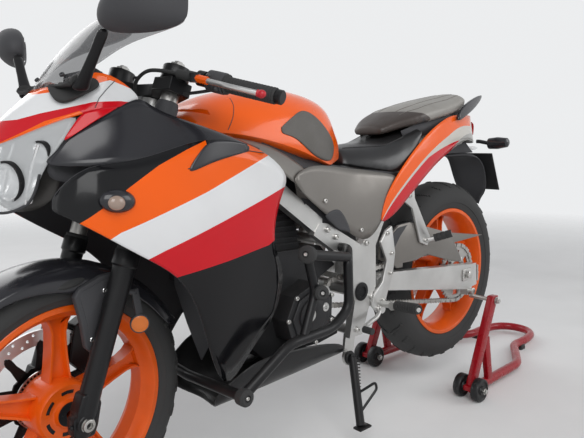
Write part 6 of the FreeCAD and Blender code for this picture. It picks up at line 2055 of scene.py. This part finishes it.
@dataclass
class Chassis:
    """The frame, the engine, the radiator, the exhaust and the shock absorber."""

    def frame(self) -> None:
        """Dress the frame, with bolts on the pivot plates."""
        refine("main_frame", Finishes.ALLOY, 3.0)
        bolts, caps = Build(), Build()
        for side in Side:
            s = side.value
            caps.lathe([(0, 26), (3, 26), (5, 23), (5, 15), (2, 14), (2, 0.001)], (808, 134 * s, 424), (0, s, 0), 40,
                       closed=False)
            for x, z in ((700, 590), (826, 560), (850, 404), (792, 318), (668, 612)):
                bolts.bolt((x, 134 * s, z), (0, s, 0), 8)
        caps.piece("pivot_caps", Finishes.CARRIER)
        bolts.piece("frame_bolts", Finishes.ZINC)

    def engine(self) -> None:
        """Dress the engine with stepped covers, fins, plugs and cover bolts."""
        refine("engine", Finishes.ENGINE, 4.0)
        left = [(556, 346), (618, 330), (668, 374), (670, 434), (616, 466), (560, 442), (537, 396)]
        right = [(534, 346), (634, 318), (684, 356), (684, 440), (614, 484), (542, 458), (514, 402)]
        covers, bolts, caps = Build(), Build(), Build()
        covers.slab(left, -146, -139, 5, 3)
        covers.slab(right, 135, 143, 5, 3)
        covers.lathe([(0, 46), (6, 46), (9, 42), (9, 0.001)], (604, -145, 398), (0, -1, 0), 48, closed=False)
        covers.lathe([(0, 52), (6, 52), (10, 46), (10, 0.001)], (604, 142, 404), (0, 1, 0), 48, closed=False)
        for outline, y, way in (([(544, 344), (620, 322), (678, 372), (680, 438), (620, 476), (552, 450), (524, 396)],
                                 -140, -1),
                                ([(524, 334), (640, 306), (694, 352), (694, 448), (620, 494), (534, 466), (506, 400)],
                                 136, 1)):
            for x, z in outline:
                bolts.bolt((x, y, z), (0, way, 0), 6)
        for x, z, size in ((645, 453, 15), (590, 402, 19), (645, 413, 12)):
            caps.lathe([(0, size), (3, size), (5, size - 2), (5, 4), (3, 3.6), (3, 0.001)], (x, -150, z),
                       (0, -1, 0), 32, closed=False)
            caps.slab([(x - size * 0.7, z - 1.4), (x - size * 0.7, z + 1.4), (x + size * 0.7, z + 1.4),
                       (x + size * 0.7, z - 1.4)], -155.5, -154, 0.4)
        covers.piece("engine_covers", Finishes.ENGINE)
        bolts.piece("engine_bolts", Finishes.ZINC)
        caps.piece("engine_caps", Finishes.ALLOY)
        fins = Build()
        for step in range(7):
            z = 574 + step * 15
            fins.slab([(500 - step * 4.6, z), (638 - step * 5, z), (636 - step * 5, z + 4), (498 - step * 4.6, z + 4)],
                      -68, 68, 1.2)
        fins.piece("cylinder_fins", Finishes.ENGINE)
        hoses = Build()
        hoses.tube([(402, -96, 672), (436, -96, 690), (470, -84, 716), (520, -70, 730)], 13, sides=20, soft=True)
        hoses.tube([(402, 96, 492), (430, 96, 478), (470, 92, 440), (520, 80, 420)], 13, sides=20, soft=True)
        hoses.piece("coolant_hoses", Finishes.RUBBER)

    def radiator(self) -> None:
        """Dress the radiator with fins on both faces."""
        refine("radiator", Finishes.CARRIER, 2.0)
        fins = Build()
        for step in range(34):
            z = 478 + step * 6.1
            fins.slab([(368.4, z), (410, z - 6), (410, z - 4.6), (368.4, z + 1.4)], -110, 110)
        for y in (-60, 0, 60):
            fins.slab([(367.6, 474), (370, 474), (370, 690), (367.6, 690)], y - 2, y + 2)
        fins.piece("radiator_fins", Finishes.ALLOY)

    def exhaust(self) -> None:
        """Make the header pipe and dress the muffler with its end cap and heat shield."""
        pipe = Build()
        pipe.tube([(484.7, 36, 629.9), (455.6, 36, 622.6), (426, 40, 560), (426, 44, 330), (470, 52, 250),
                   (600, 62, 252), (720, 98, 270), (880, 128, 286), (990, 186, 372)], 18, bend=60, sides=28)
        pipe.piece("header_pipe", Finishes.EXHAUST)
        can = Build()
        way = (0.92, 0.02, 0.39)
        can.lathe([(0, 22), (6, 24), (40, 33), (100, 45), (106, 46), (420, 52), (424, 52), (462, 42), (488, 34),
                   (488, 24), (470, 24), (470, 0.001)], (984, 186, 367), way, 48, closed=False)
        can.piece("muffler", Finishes.BLACK_METAL, replaces=["exhaust"])
        shield = Build()
        shield.lathe([(150, 50.5), (150, 52.5), (156, 54), (400, 57.5), (406, 56.5), (406, 54.5)], (984, 186, 367), way,
                     28, sweep=math.radians(120))
        shield.piece("heat_shield", Finishes.SILVER)

    def shock(self) -> None:
        """Make the shock absorber with its coil spring."""
        foot, top = Vector((898, 0, 521)), Vector((884.6, 0, 628))
        way = (top - foot).normalized()
        body = Build()
        length = (top - foot).length
        body.lathe([(0, 0.001), (0, 25), (6, 25), (6, 14), (length - 30, 14), (length - 30, 25), (length - 22, 25),
                    (length - 22, 12), (length, 12), (length, 0.001)], foot, way, 32, closed=False)
        body.piece("shock_body", Finishes.CARRIER, replaces=["shock_absorber"])
        spring = Build()
        out = way.orthogonal().normalized()
        points = []
        for step in range(5 * 12 + 1):
            turn = math.tau * step / 12
            arm = Matrix.Rotation(turn, 3, way) @ out
            points.append(foot + way * (8 + (length - 44) * step / 60) + arm * 20)
        spring.tube(points, 4.4, sides=12, soft=True)
        spring.piece("shock_spring", Finishes.SPRING)

    def build(self) -> None:
        """Make every piece of the chassis."""
        self.frame()
        self.engine()
        self.radiator()
        self.exhaust()
        self.shock()


@dataclass
class Rests:
    """The rider's and the pillion's footrests with the levers."""

    def rider(self) -> None:
        """Make the brackets, pegs with rubber tops, heel guards and foot levers."""
        bracket = [(880, 556), (905, 590), (930, 600), (948, 520), (940, 460), (916, 404), (900, 360), (872, 352),
                   (846, 376), (852, 404), (892, 440), (910, 500)]
        plates, pegs, rubbers, levers, tips, bolts = Build(), Build(), Build(), Build(), Build(), Build()
        for side in Side:
            s = side.value
            plates.slab(bracket, 134.6 * s, 144 * s, 2.6, 3)
            start, end = Vector((888, 140 * s, 376)), Vector((853, 296 * s, 396))
            way = end - start
            pegs.tube([start, start + way * 0.42], 9, sides=16)
            pegs.lathe([(-10, 0.001), (-10, 12), (10, 12), (10, 0.001)], start + way * 0.36, (1, 0, 0), 20,
                       closed=False)
            pegs.tube([start + way * 0.4 + Vector((0, 0, -3)), end + Vector((0, 0, -3))], 8.6, sides=16)
            length = way.length
            profile = [(length * 0.44, 8)]
            for index in range(9):
                place = length * (0.45 + 0.06 * index)
                profile += [(place, 15.0), (place + 4.4, 15.0), (place + 5.4, 13.4), (place + 6.6, 13.4)]
            profile += [(length, 12.4), (length, 8)]
            rubbers.lathe(profile, start + Vector((0, 0, 1)), way, 20, closed=False)
            levers.tube([(884, 143 * s, 362), (858, 154 * s, 346), (800, 160 * s, 334), (774, 178 * s, 332)], 6.4,
                        bend=14, sides=16)
            levers.lathe([(-7, 0.001), (-7, 12), (7, 12), (7, 0.001)], (884, 145 * s, 362), (0, s, 0), 24, closed=False)
            tips.lathe([(-16, 0.001), (-16, 8.6), (-15, 9.4), (15, 9.4), (16, 8.4), (16, 0.001)], (774, 190 * s, 331.6),
                       (0, s, 0), 20, closed=False)
            for x, z in ((906, 580), (930, 520), (896, 386), (870, 366), (926, 462)):
                bolts.bolt((x, 144 * s, z), (0, s, 0), 6.5)
        plates.piece("footrest_plates", Finishes.ALLOY, replaces=["rider_footrests"])
        pegs.piece("footrest_pegs", Finishes.ALLOY)
        rubbers.piece("footrest_rubbers", Finishes.RUBBER)
        levers.piece("foot_levers", Finishes.ALLOY)
        tips.piece("foot_lever_tips", Finishes.RUBBER)
        bolts.piece("footrest_bolts", Finishes.ZINC)

    def pillion(self) -> None:
        """Make the pillion's brackets and folded pegs."""
        strut = [(1000, 668), (1012, 768), (1046, 772), (1060, 672), (1150, 540), (1132, 516), (1096, 530), (1050, 640)]
        plates, pegs, rubbers, bolts = Build(), Build(), Build(), Build()
        for side in Side:
            s = side.value
            plates.slab(strut, 120 * s, 129 * s, 2.8, 3)
            pegs.tube([(1030, 97.6 * s, 760), (1030, 122 * s, 760)], 10, sides=20)
            start, end = Vector((1128, 126 * s, 534)), Vector((1168, 192 * s, 560))
            pegs.tube([start, end], 8, sides=16)
            way = end - start
            rubbers.lathe([(26, 8), (26, 12), (32, 12.4), (34, 11), (36, 12.4), (46, 12.4), (48, 11), (50, 12.4),
                           (60, 12.4), (62, 11), (64, 12.4), (way.length, 12), (way.length, 0.001)], start,
                          way, 20, closed=False)
            for x, z in ((1030, 680), (1118, 536)):
                bolts.bolt((x, 129 * s, z), (0, s, 0), 7)
        plates.piece("pillion_plates", Finishes.ALLOY, replaces=["pillion_footrests"])
        pegs.piece("pillion_pegs", Finishes.ALLOY)
        rubbers.piece("pillion_rubbers", Finishes.RUBBER)
        bolts.piece("pillion_bolts", Finishes.ZINC)

    def build(self) -> None:
        """Make both pairs of footrests."""
        self.rider()
        self.pillion()


@dataclass
class Bars:
    """The black crash bars with their slider pods."""

    radius: float = 12.5

    def build(self) -> None:
        """Make the bars, the pods and their bolts."""
        bars, pods, bolts = Build(), Build(), Build()
        for side in Side:
            s = side.value
            bars.tube([(720, 134.4 * s, 560), (720, 160 * s, 560), (668, 206 * s, 552), (664, 216 * s, 420),
                       (600, 220 * s, 382), (452, 224 * s, 376), (320, 216 * s, 286), (320, 0, 274)], self.radius,
                      bend=26, sides=24)
            bars.tube([(664, 208 * s, 550), (512, 226 * s, 577)], self.radius, sides=24)
            bars.tube([(514, 216 * s, 574), (552, 206 * s, 478), (502, 219 * s, 382)], 11, bend=22, sides=20)
            for start, end, size in (((520, 218 * s, 575.6), (496, 228 * s, 580), 22),
                                     ((564, 196 * s, 476), (548, 236 * s, 481), 19),
                                     ((320, 208 * s, 286), (320, 236 * s, 287), 20)):
                way = Vector(end) - Vector(start)
                length = way.length
                pods.lathe([(0, 0.001), (0, size * 0.75), (3, size * 0.95), (length * 0.5, size * 0.98),
                            (length - 5, size * 0.95), (length - 1, size * 0.7), (length - 1, 8), (length - 5, 7.6),
                            (length - 5, 0.001)], start, way, 32, closed=False)
                bolts.bolt(Vector(end) - way.normalized() * 5, way, 4.5)
        bars.piece("crash_tubes", Finishes.BLACK_METAL, replaces=["crash_bars"])
        pods.piece("crash_pods", Finishes.RUBBER)
        bolts.piece("crash_bolts", Finishes.ZINC)


@dataclass
class Stands:
    """The side stand, and the red paddock stand with its rollers."""

    half: float = 216.0
    tube: float = 16.0
    roller_x: float = 1275.0
    roller: float = 38.0

    def pivot_point(self, reach: float) -> Point:
        """Return a point on the side stand's pivot line, a distance out from the bracket's middle."""
        return 775 + reach * 0.076, -116 - reach * 0.967, 236 + reach * 0.242

    def side(self) -> None:
        """Make the side stand with its tang, spring and foot."""
        way = (0.076, -0.967, 0.242)
        leg, spring, bolt = Build(), Build(), Build()
        leg.lathe([(4.3, 5), (4.3, 18), (6, 19), (11.5, 19), (13, 17.6), (13, 5)], self.pivot_point(0), way, 32)
        leg.tube([self.pivot_point(17), (742, -195, 74)], 12, sides=24)
        leg.plate([(720, -214, 67), (720, -186, 67), (768, -186, 67), (768, -214, 67)], (0, 0, 7), 3)
        leg.tube([(752, -166, 148), (808, -190, 176), (811, -194, 158), (745, -186, 100)], 3.8, bend=8, sides=12)
        bolt.lathe([(-6.3, 0.001), (-6.3, 6), (13, 6), (13, 10.6), (19, 10.6), (20, 9), (20, 0.001)],
                   self.pivot_point(0), way, 6, closed=False)
        points = []
        start, end = Vector(self.pivot_point(24)) + Vector((14, 0, 2)), Vector((764, -170, 132))
        for step in range(14 * 8 + 1):
            along = start.lerp(end, step / 112)
            turn = math.tau * step / 8
            points.append((along.x + 5.5 * math.cos(turn), along.y + 5.5 * math.sin(turn), along.z))
        spring.tube(points, 1.5, sides=8, soft=True)
        leg.piece("side_stand_leg", Finishes.BLACK_METAL, Body.SIDE_STAND, replaces=["side_stand"])
        spring.piece("side_stand_spring", Finishes.CARRIER, Body.SIDE_STAND)
        bolt.piece("side_stand_pivot", Finishes.CARRIER, Body.SIDE_STAND)

    def paddock(self) -> None:
        """Make the floor loop, both uprights with their braces, the lift pins and the rear feet."""
        height = self.tube + 12
        path = [(x, -self.half * share, height) for x, share in
                ((1283, 1.0), (1625, 0.95), (1815, 0.44), (1905, 0.46), (2000, 0.38), (2048, 0.16))]
        path += [(x, -y, z) for x, y, z in reversed(path)]
        loop, pins, feet = Build(), Build(), Build()
        loop.tube(path, self.tube, bend=34, sides=28)
        for side in Side:
            s = side.value
            y = self.half * s
            lean = [(self.roller_x - 17, 34), (self.roller_x + 17, 34), (1415, 327), (1381, 327)]
            loop.slab(lean, y - 12, y + 12, 3.0, 3)
            brace = [(self.roller_x + 104, height), (self.roller_x + 132, height), (self.roller_x + 97, 192),
                     (self.roller_x + 68, 176)]
            loop.slab(brace, y - 9, y + 9, 2.0, 2)
            loop.slab([(self.roller_x - 24, 48), (self.roller_x - 24, 30), (self.roller_x + 24, 30),
                       (self.roller_x + 24, 48)], y - 14, y + 14, 3.0)
            pins.tube([(1398, 130 * s, 311), (1398, y + 26 * s, 311)], 7, sides=20)
            pins.bolt((1398, y + 13 * s, 311), (0, s, 0), 10, False)
            pins.lathe([(0, 10), (2, 10), (2, 7)], (1398, y - 14 * s, 311), (0, -s, 0), 20, closed=False)
            pins.tube([(self.roller_x, y - 52, self.roller), (self.roller_x, y + 52, self.roller)], 6.8, sides=20)
            for end in (-52, 52):
                pins.bolt((self.roller_x, y + end, self.roller), (0, math.copysign(1, end), 0), 8, False)
            feet.slab([(1846, 0), (1882, 0), (1878, 24), (1850, 24)], 100 * s - 14, 100 * s + 14, 4, 3)
        loop.piece("paddock_frame", Finishes.RED_FRAME, replaces=["paddock_stand"])
        pins.piece("paddock_pins", Finishes.ZINC)
        feet.piece("paddock_feet", Finishes.ROLLER)

    def rollers(self) -> None:
        """Make both pairs of rollers with recessed faces."""
        for side, body in ((Side.LEFT, Body.ROLLERS_LEFT), (Side.RIGHT, Body.ROLLERS_RIGHT)):
            work = Build()
            for offset in (-32, 32):
                y = self.half * side.value + offset
                work.lathe([(-13, 7.5), (-13, 14), (-9, 16), (-9, 28), (-13, 31), (-12, 36), (-9, 38), (9, 38),
                            (12, 36), (13, 31), (9, 28), (9, 16), (13, 14), (13, 7.5)],
                           (self.roller_x, y, self.roller), (0, 1, 0), 44)
            name = f"stand_rollers_{side.name.lower()}"
            work.piece(name + "_wheels", Finishes.ROLLER, body, replaces=[name])

    def build(self) -> None:
        """Make both stands."""
        self.side()
        self.paddock()
        self.rollers()


@dataclass
class Studio:
    """The camera at the photograph's place, with soft lamps over a pale floor.

    Attributes:
        place: the camera's place in metres.
        yaw, pitch, roll: the camera's turn from level along y, in degrees.
        lens: focal length in millimetres on a 36 mm sensor.
    """

    place: Point = (-1.3343, -1.1944, 0.8256)
    yaw: float = 43.08
    pitch: float = -6.9
    roll: float = 0.1
    lens: float = 36.78

    def camera(self) -> None:
        """Make the camera and set it as the scene's own."""
        data = bpy.data.cameras.new("camera")
        data.lens = self.lens
        data.sensor_width = 36.0
        data.clip_end = 60.0
        item = placed("camera", data)
        yaw, pitch = math.radians(self.yaw), math.radians(self.pitch)
        way = Vector((math.sin(yaw) * math.cos(pitch), math.cos(yaw) * math.cos(pitch), math.sin(pitch)))
        turn = way.to_track_quat("-Z", "Y").to_matrix().to_4x4() @ Matrix.Rotation(math.radians(self.roll), 4, "Z")
        item.matrix_world = Matrix.Translation(Vector(self.place)) @ turn
        bpy.context.scene.camera = item

    def lamp(self, name: str, place: Point, size: float, power: float) -> None:
        """Add a square area lamp that faces the motorcycle.

        Args:
            name: the lamp's name.
            place: its place in metres.
            size: its side in metres.
            power: its power in watts.
        """
        data = bpy.data.lights.new(name, "AREA")
        data.size = size
        data.energy = power
        item = placed(name, data)
        aim = Vector((0.0, 0.0, 0.5)) - Vector(place)
        item.matrix_world = Matrix.Translation(Vector(place)) @ aim.to_track_quat("-Z", "Y").to_matrix().to_4x4()

    def lamps(self) -> None:
        """Make the soft lamps: one over the left front, one at the left rear and one at the right."""
        self.lamp("key", (-2.2, -2.4, 3.0), 2.6, 78)
        self.lamp("left_rear", (2.6, -2.6, 2.2), 2.0, 34)
        self.lamp("right", (-0.6, 3.4, 2.6), 2.4, 40)

    def sky(self) -> None:
        """Make the pale room that is seen behind the motorcycle and in its gloss."""
        world = bpy.data.worlds.new("room")
        world.use_nodes = True
        bpy.context.scene.world = world
        tree = world.node_tree
        tree.nodes.clear()

        def add(kind: str, feeds: dict[int | str, object], **settings: object) -> bpy.types.Node:
            """Add a node with its settings, its inputs fed by other nodes or with plain values."""
            node = tree.nodes.new(kind)
            for name, value in settings.items():
                setattr(node, name, value)
            for key, value in feeds.items():
                if isinstance(value, bpy.types.NodeSocket):
                    tree.links.new(value, node.inputs[key])
                else:
                    node.inputs[key].default_value = value
            return node

        rays = add("ShaderNodeLightPath", {}).outputs
        direct = add("ShaderNodeMath", {0: rays["Is Camera Ray"], 1: rays["Is Transmission Ray"]}, operation="MAXIMUM")
        seen = add("ShaderNodeMath", {0: direct.outputs[0], 1: rays["Is Glossy Ray"]}, operation="MAXIMUM")
        way = add("ShaderNodeSeparateXYZ", {0: add("ShaderNodeTexCoord", {}).outputs["Generated"]})
        fade = add("ShaderNodeMapRange", {0: way.outputs[2], 1: 0.30, 2: 0.85, 3: 0.0, 4: 1.0})
        tone = add("ShaderNodeMix", {}, data_type="RGBA")
        tone.inputs[6].default_value = (0.84, 0.85, 0.86, 1.0)
        tone.inputs[7].default_value = (0.42, 0.43, 0.45, 1.0)
        tree.links.new(fade.outputs[0], tone.inputs[0])
        shown = add("ShaderNodeBackground", {"Color": tone.outputs[2]})
        light = add("ShaderNodeBackground", {"Color": (0.95, 0.97, 1.0, 1.0), "Strength": 0.44})
        mixed = add("ShaderNodeMixShader", {0: seen.outputs[0], 1: light.outputs[0], 2: shown.outputs[0]})
        add("ShaderNodeOutputWorld", {"Surface": mixed.outputs[0]})

    def floor(self) -> None:
        """Make the pale floor, which fades into the room far from the motorcycle."""
        mesh_work = bmesh.new()
        bmesh.ops.create_grid(mesh_work, x_segments=2, y_segments=2, size=9.0)
        mesh = bpy.data.meshes.new("floor")
        mesh_work.to_mesh(mesh)
        mesh_work.free()
        item = placed("floor", mesh)
        wiring = Wiring("floor_pale")
        tone = wiring.spread(wiring.noise(3.0, 6.0), 0.3, 0.7, 0.0, 1.0)
        wiring.feed(wiring.shader.inputs["Base Color"], wiring.mix(tone, (0.74, 0.735, 0.73), (0.79, 0.785, 0.78)))
        wiring.shader.inputs["Roughness"].default_value = 0.75
        reach = wiring.add("ShaderNodeVectorMath", operation="LENGTH")
        wiring.feed(reach.inputs[0], wiring.place)
        wiring.feed(wiring.shader.inputs["Alpha"], wiring.spread(reach.outputs["Value"], 2.6, 6.5, 1.0, 0.0))
        mesh.materials.append(wiring.material)

    def build(self) -> None:
        """Make the camera, the lamps, the room and the floor."""
        bpy.context.scene.view_settings.view_transform = "Standard"
        self.camera()
        self.lamps()
        self.sky()
        self.floor()


def front_wheel() -> Wheel:
    """Return the front wheel."""
    return Wheel("front", half=43.0, boss_left=52.0, boss_right=61.7, disc_radius=148.0, holes=60,
                 centre=(0.0, 0.0, FRONT_AXLE_Z), body=Body.FRONT_WHEEL, steered=True)


def rear_wheel() -> Wheel:
    """Return the rear wheel."""
    return Wheel("rear", half=57.0, boss_left=82.7, boss_right=61.7, disc_radius=110.0, holes=42,
                 centre=REAR_AXLE, body=Body.REAR_WHEEL, steered=False)


def main() -> None:
    """Build the motorcycle, one sub-assembly after the other."""
    logging.basicConfig(level=logging.INFO, format="%(message)s")
    Studio().build()
    wheel = front_wheel()
    wheel.build(DISC_FACE)
    wheel.sensor_ring(47.0)
    rear_wheel().build(DISC_FACE)
    Tyre("front_tyre", radius=FRONT_TYRE, width=110.0, foot=40.0, pitches=30, centre=wheel.centre,
         body=Body.FRONT_WHEEL, steered=True).build()
    Tyre("rear_tyre", radius=REAR_TYRE, width=140.0, foot=54.0, pitches=30, centre=REAR_AXLE,
         body=Body.REAR_WHEEL, steered=False).build()
    for part in (FrontEnd(), Controls(), Bodywork(), Lamps(), Tail(), Cockpit(), Seats(), Drive(), Chassis(), Rests(),
                 Bars(), Stands()):
        part.build()
        LOG.info("%s built", type(part).__name__)


if __name__ == "__main__":
    main()
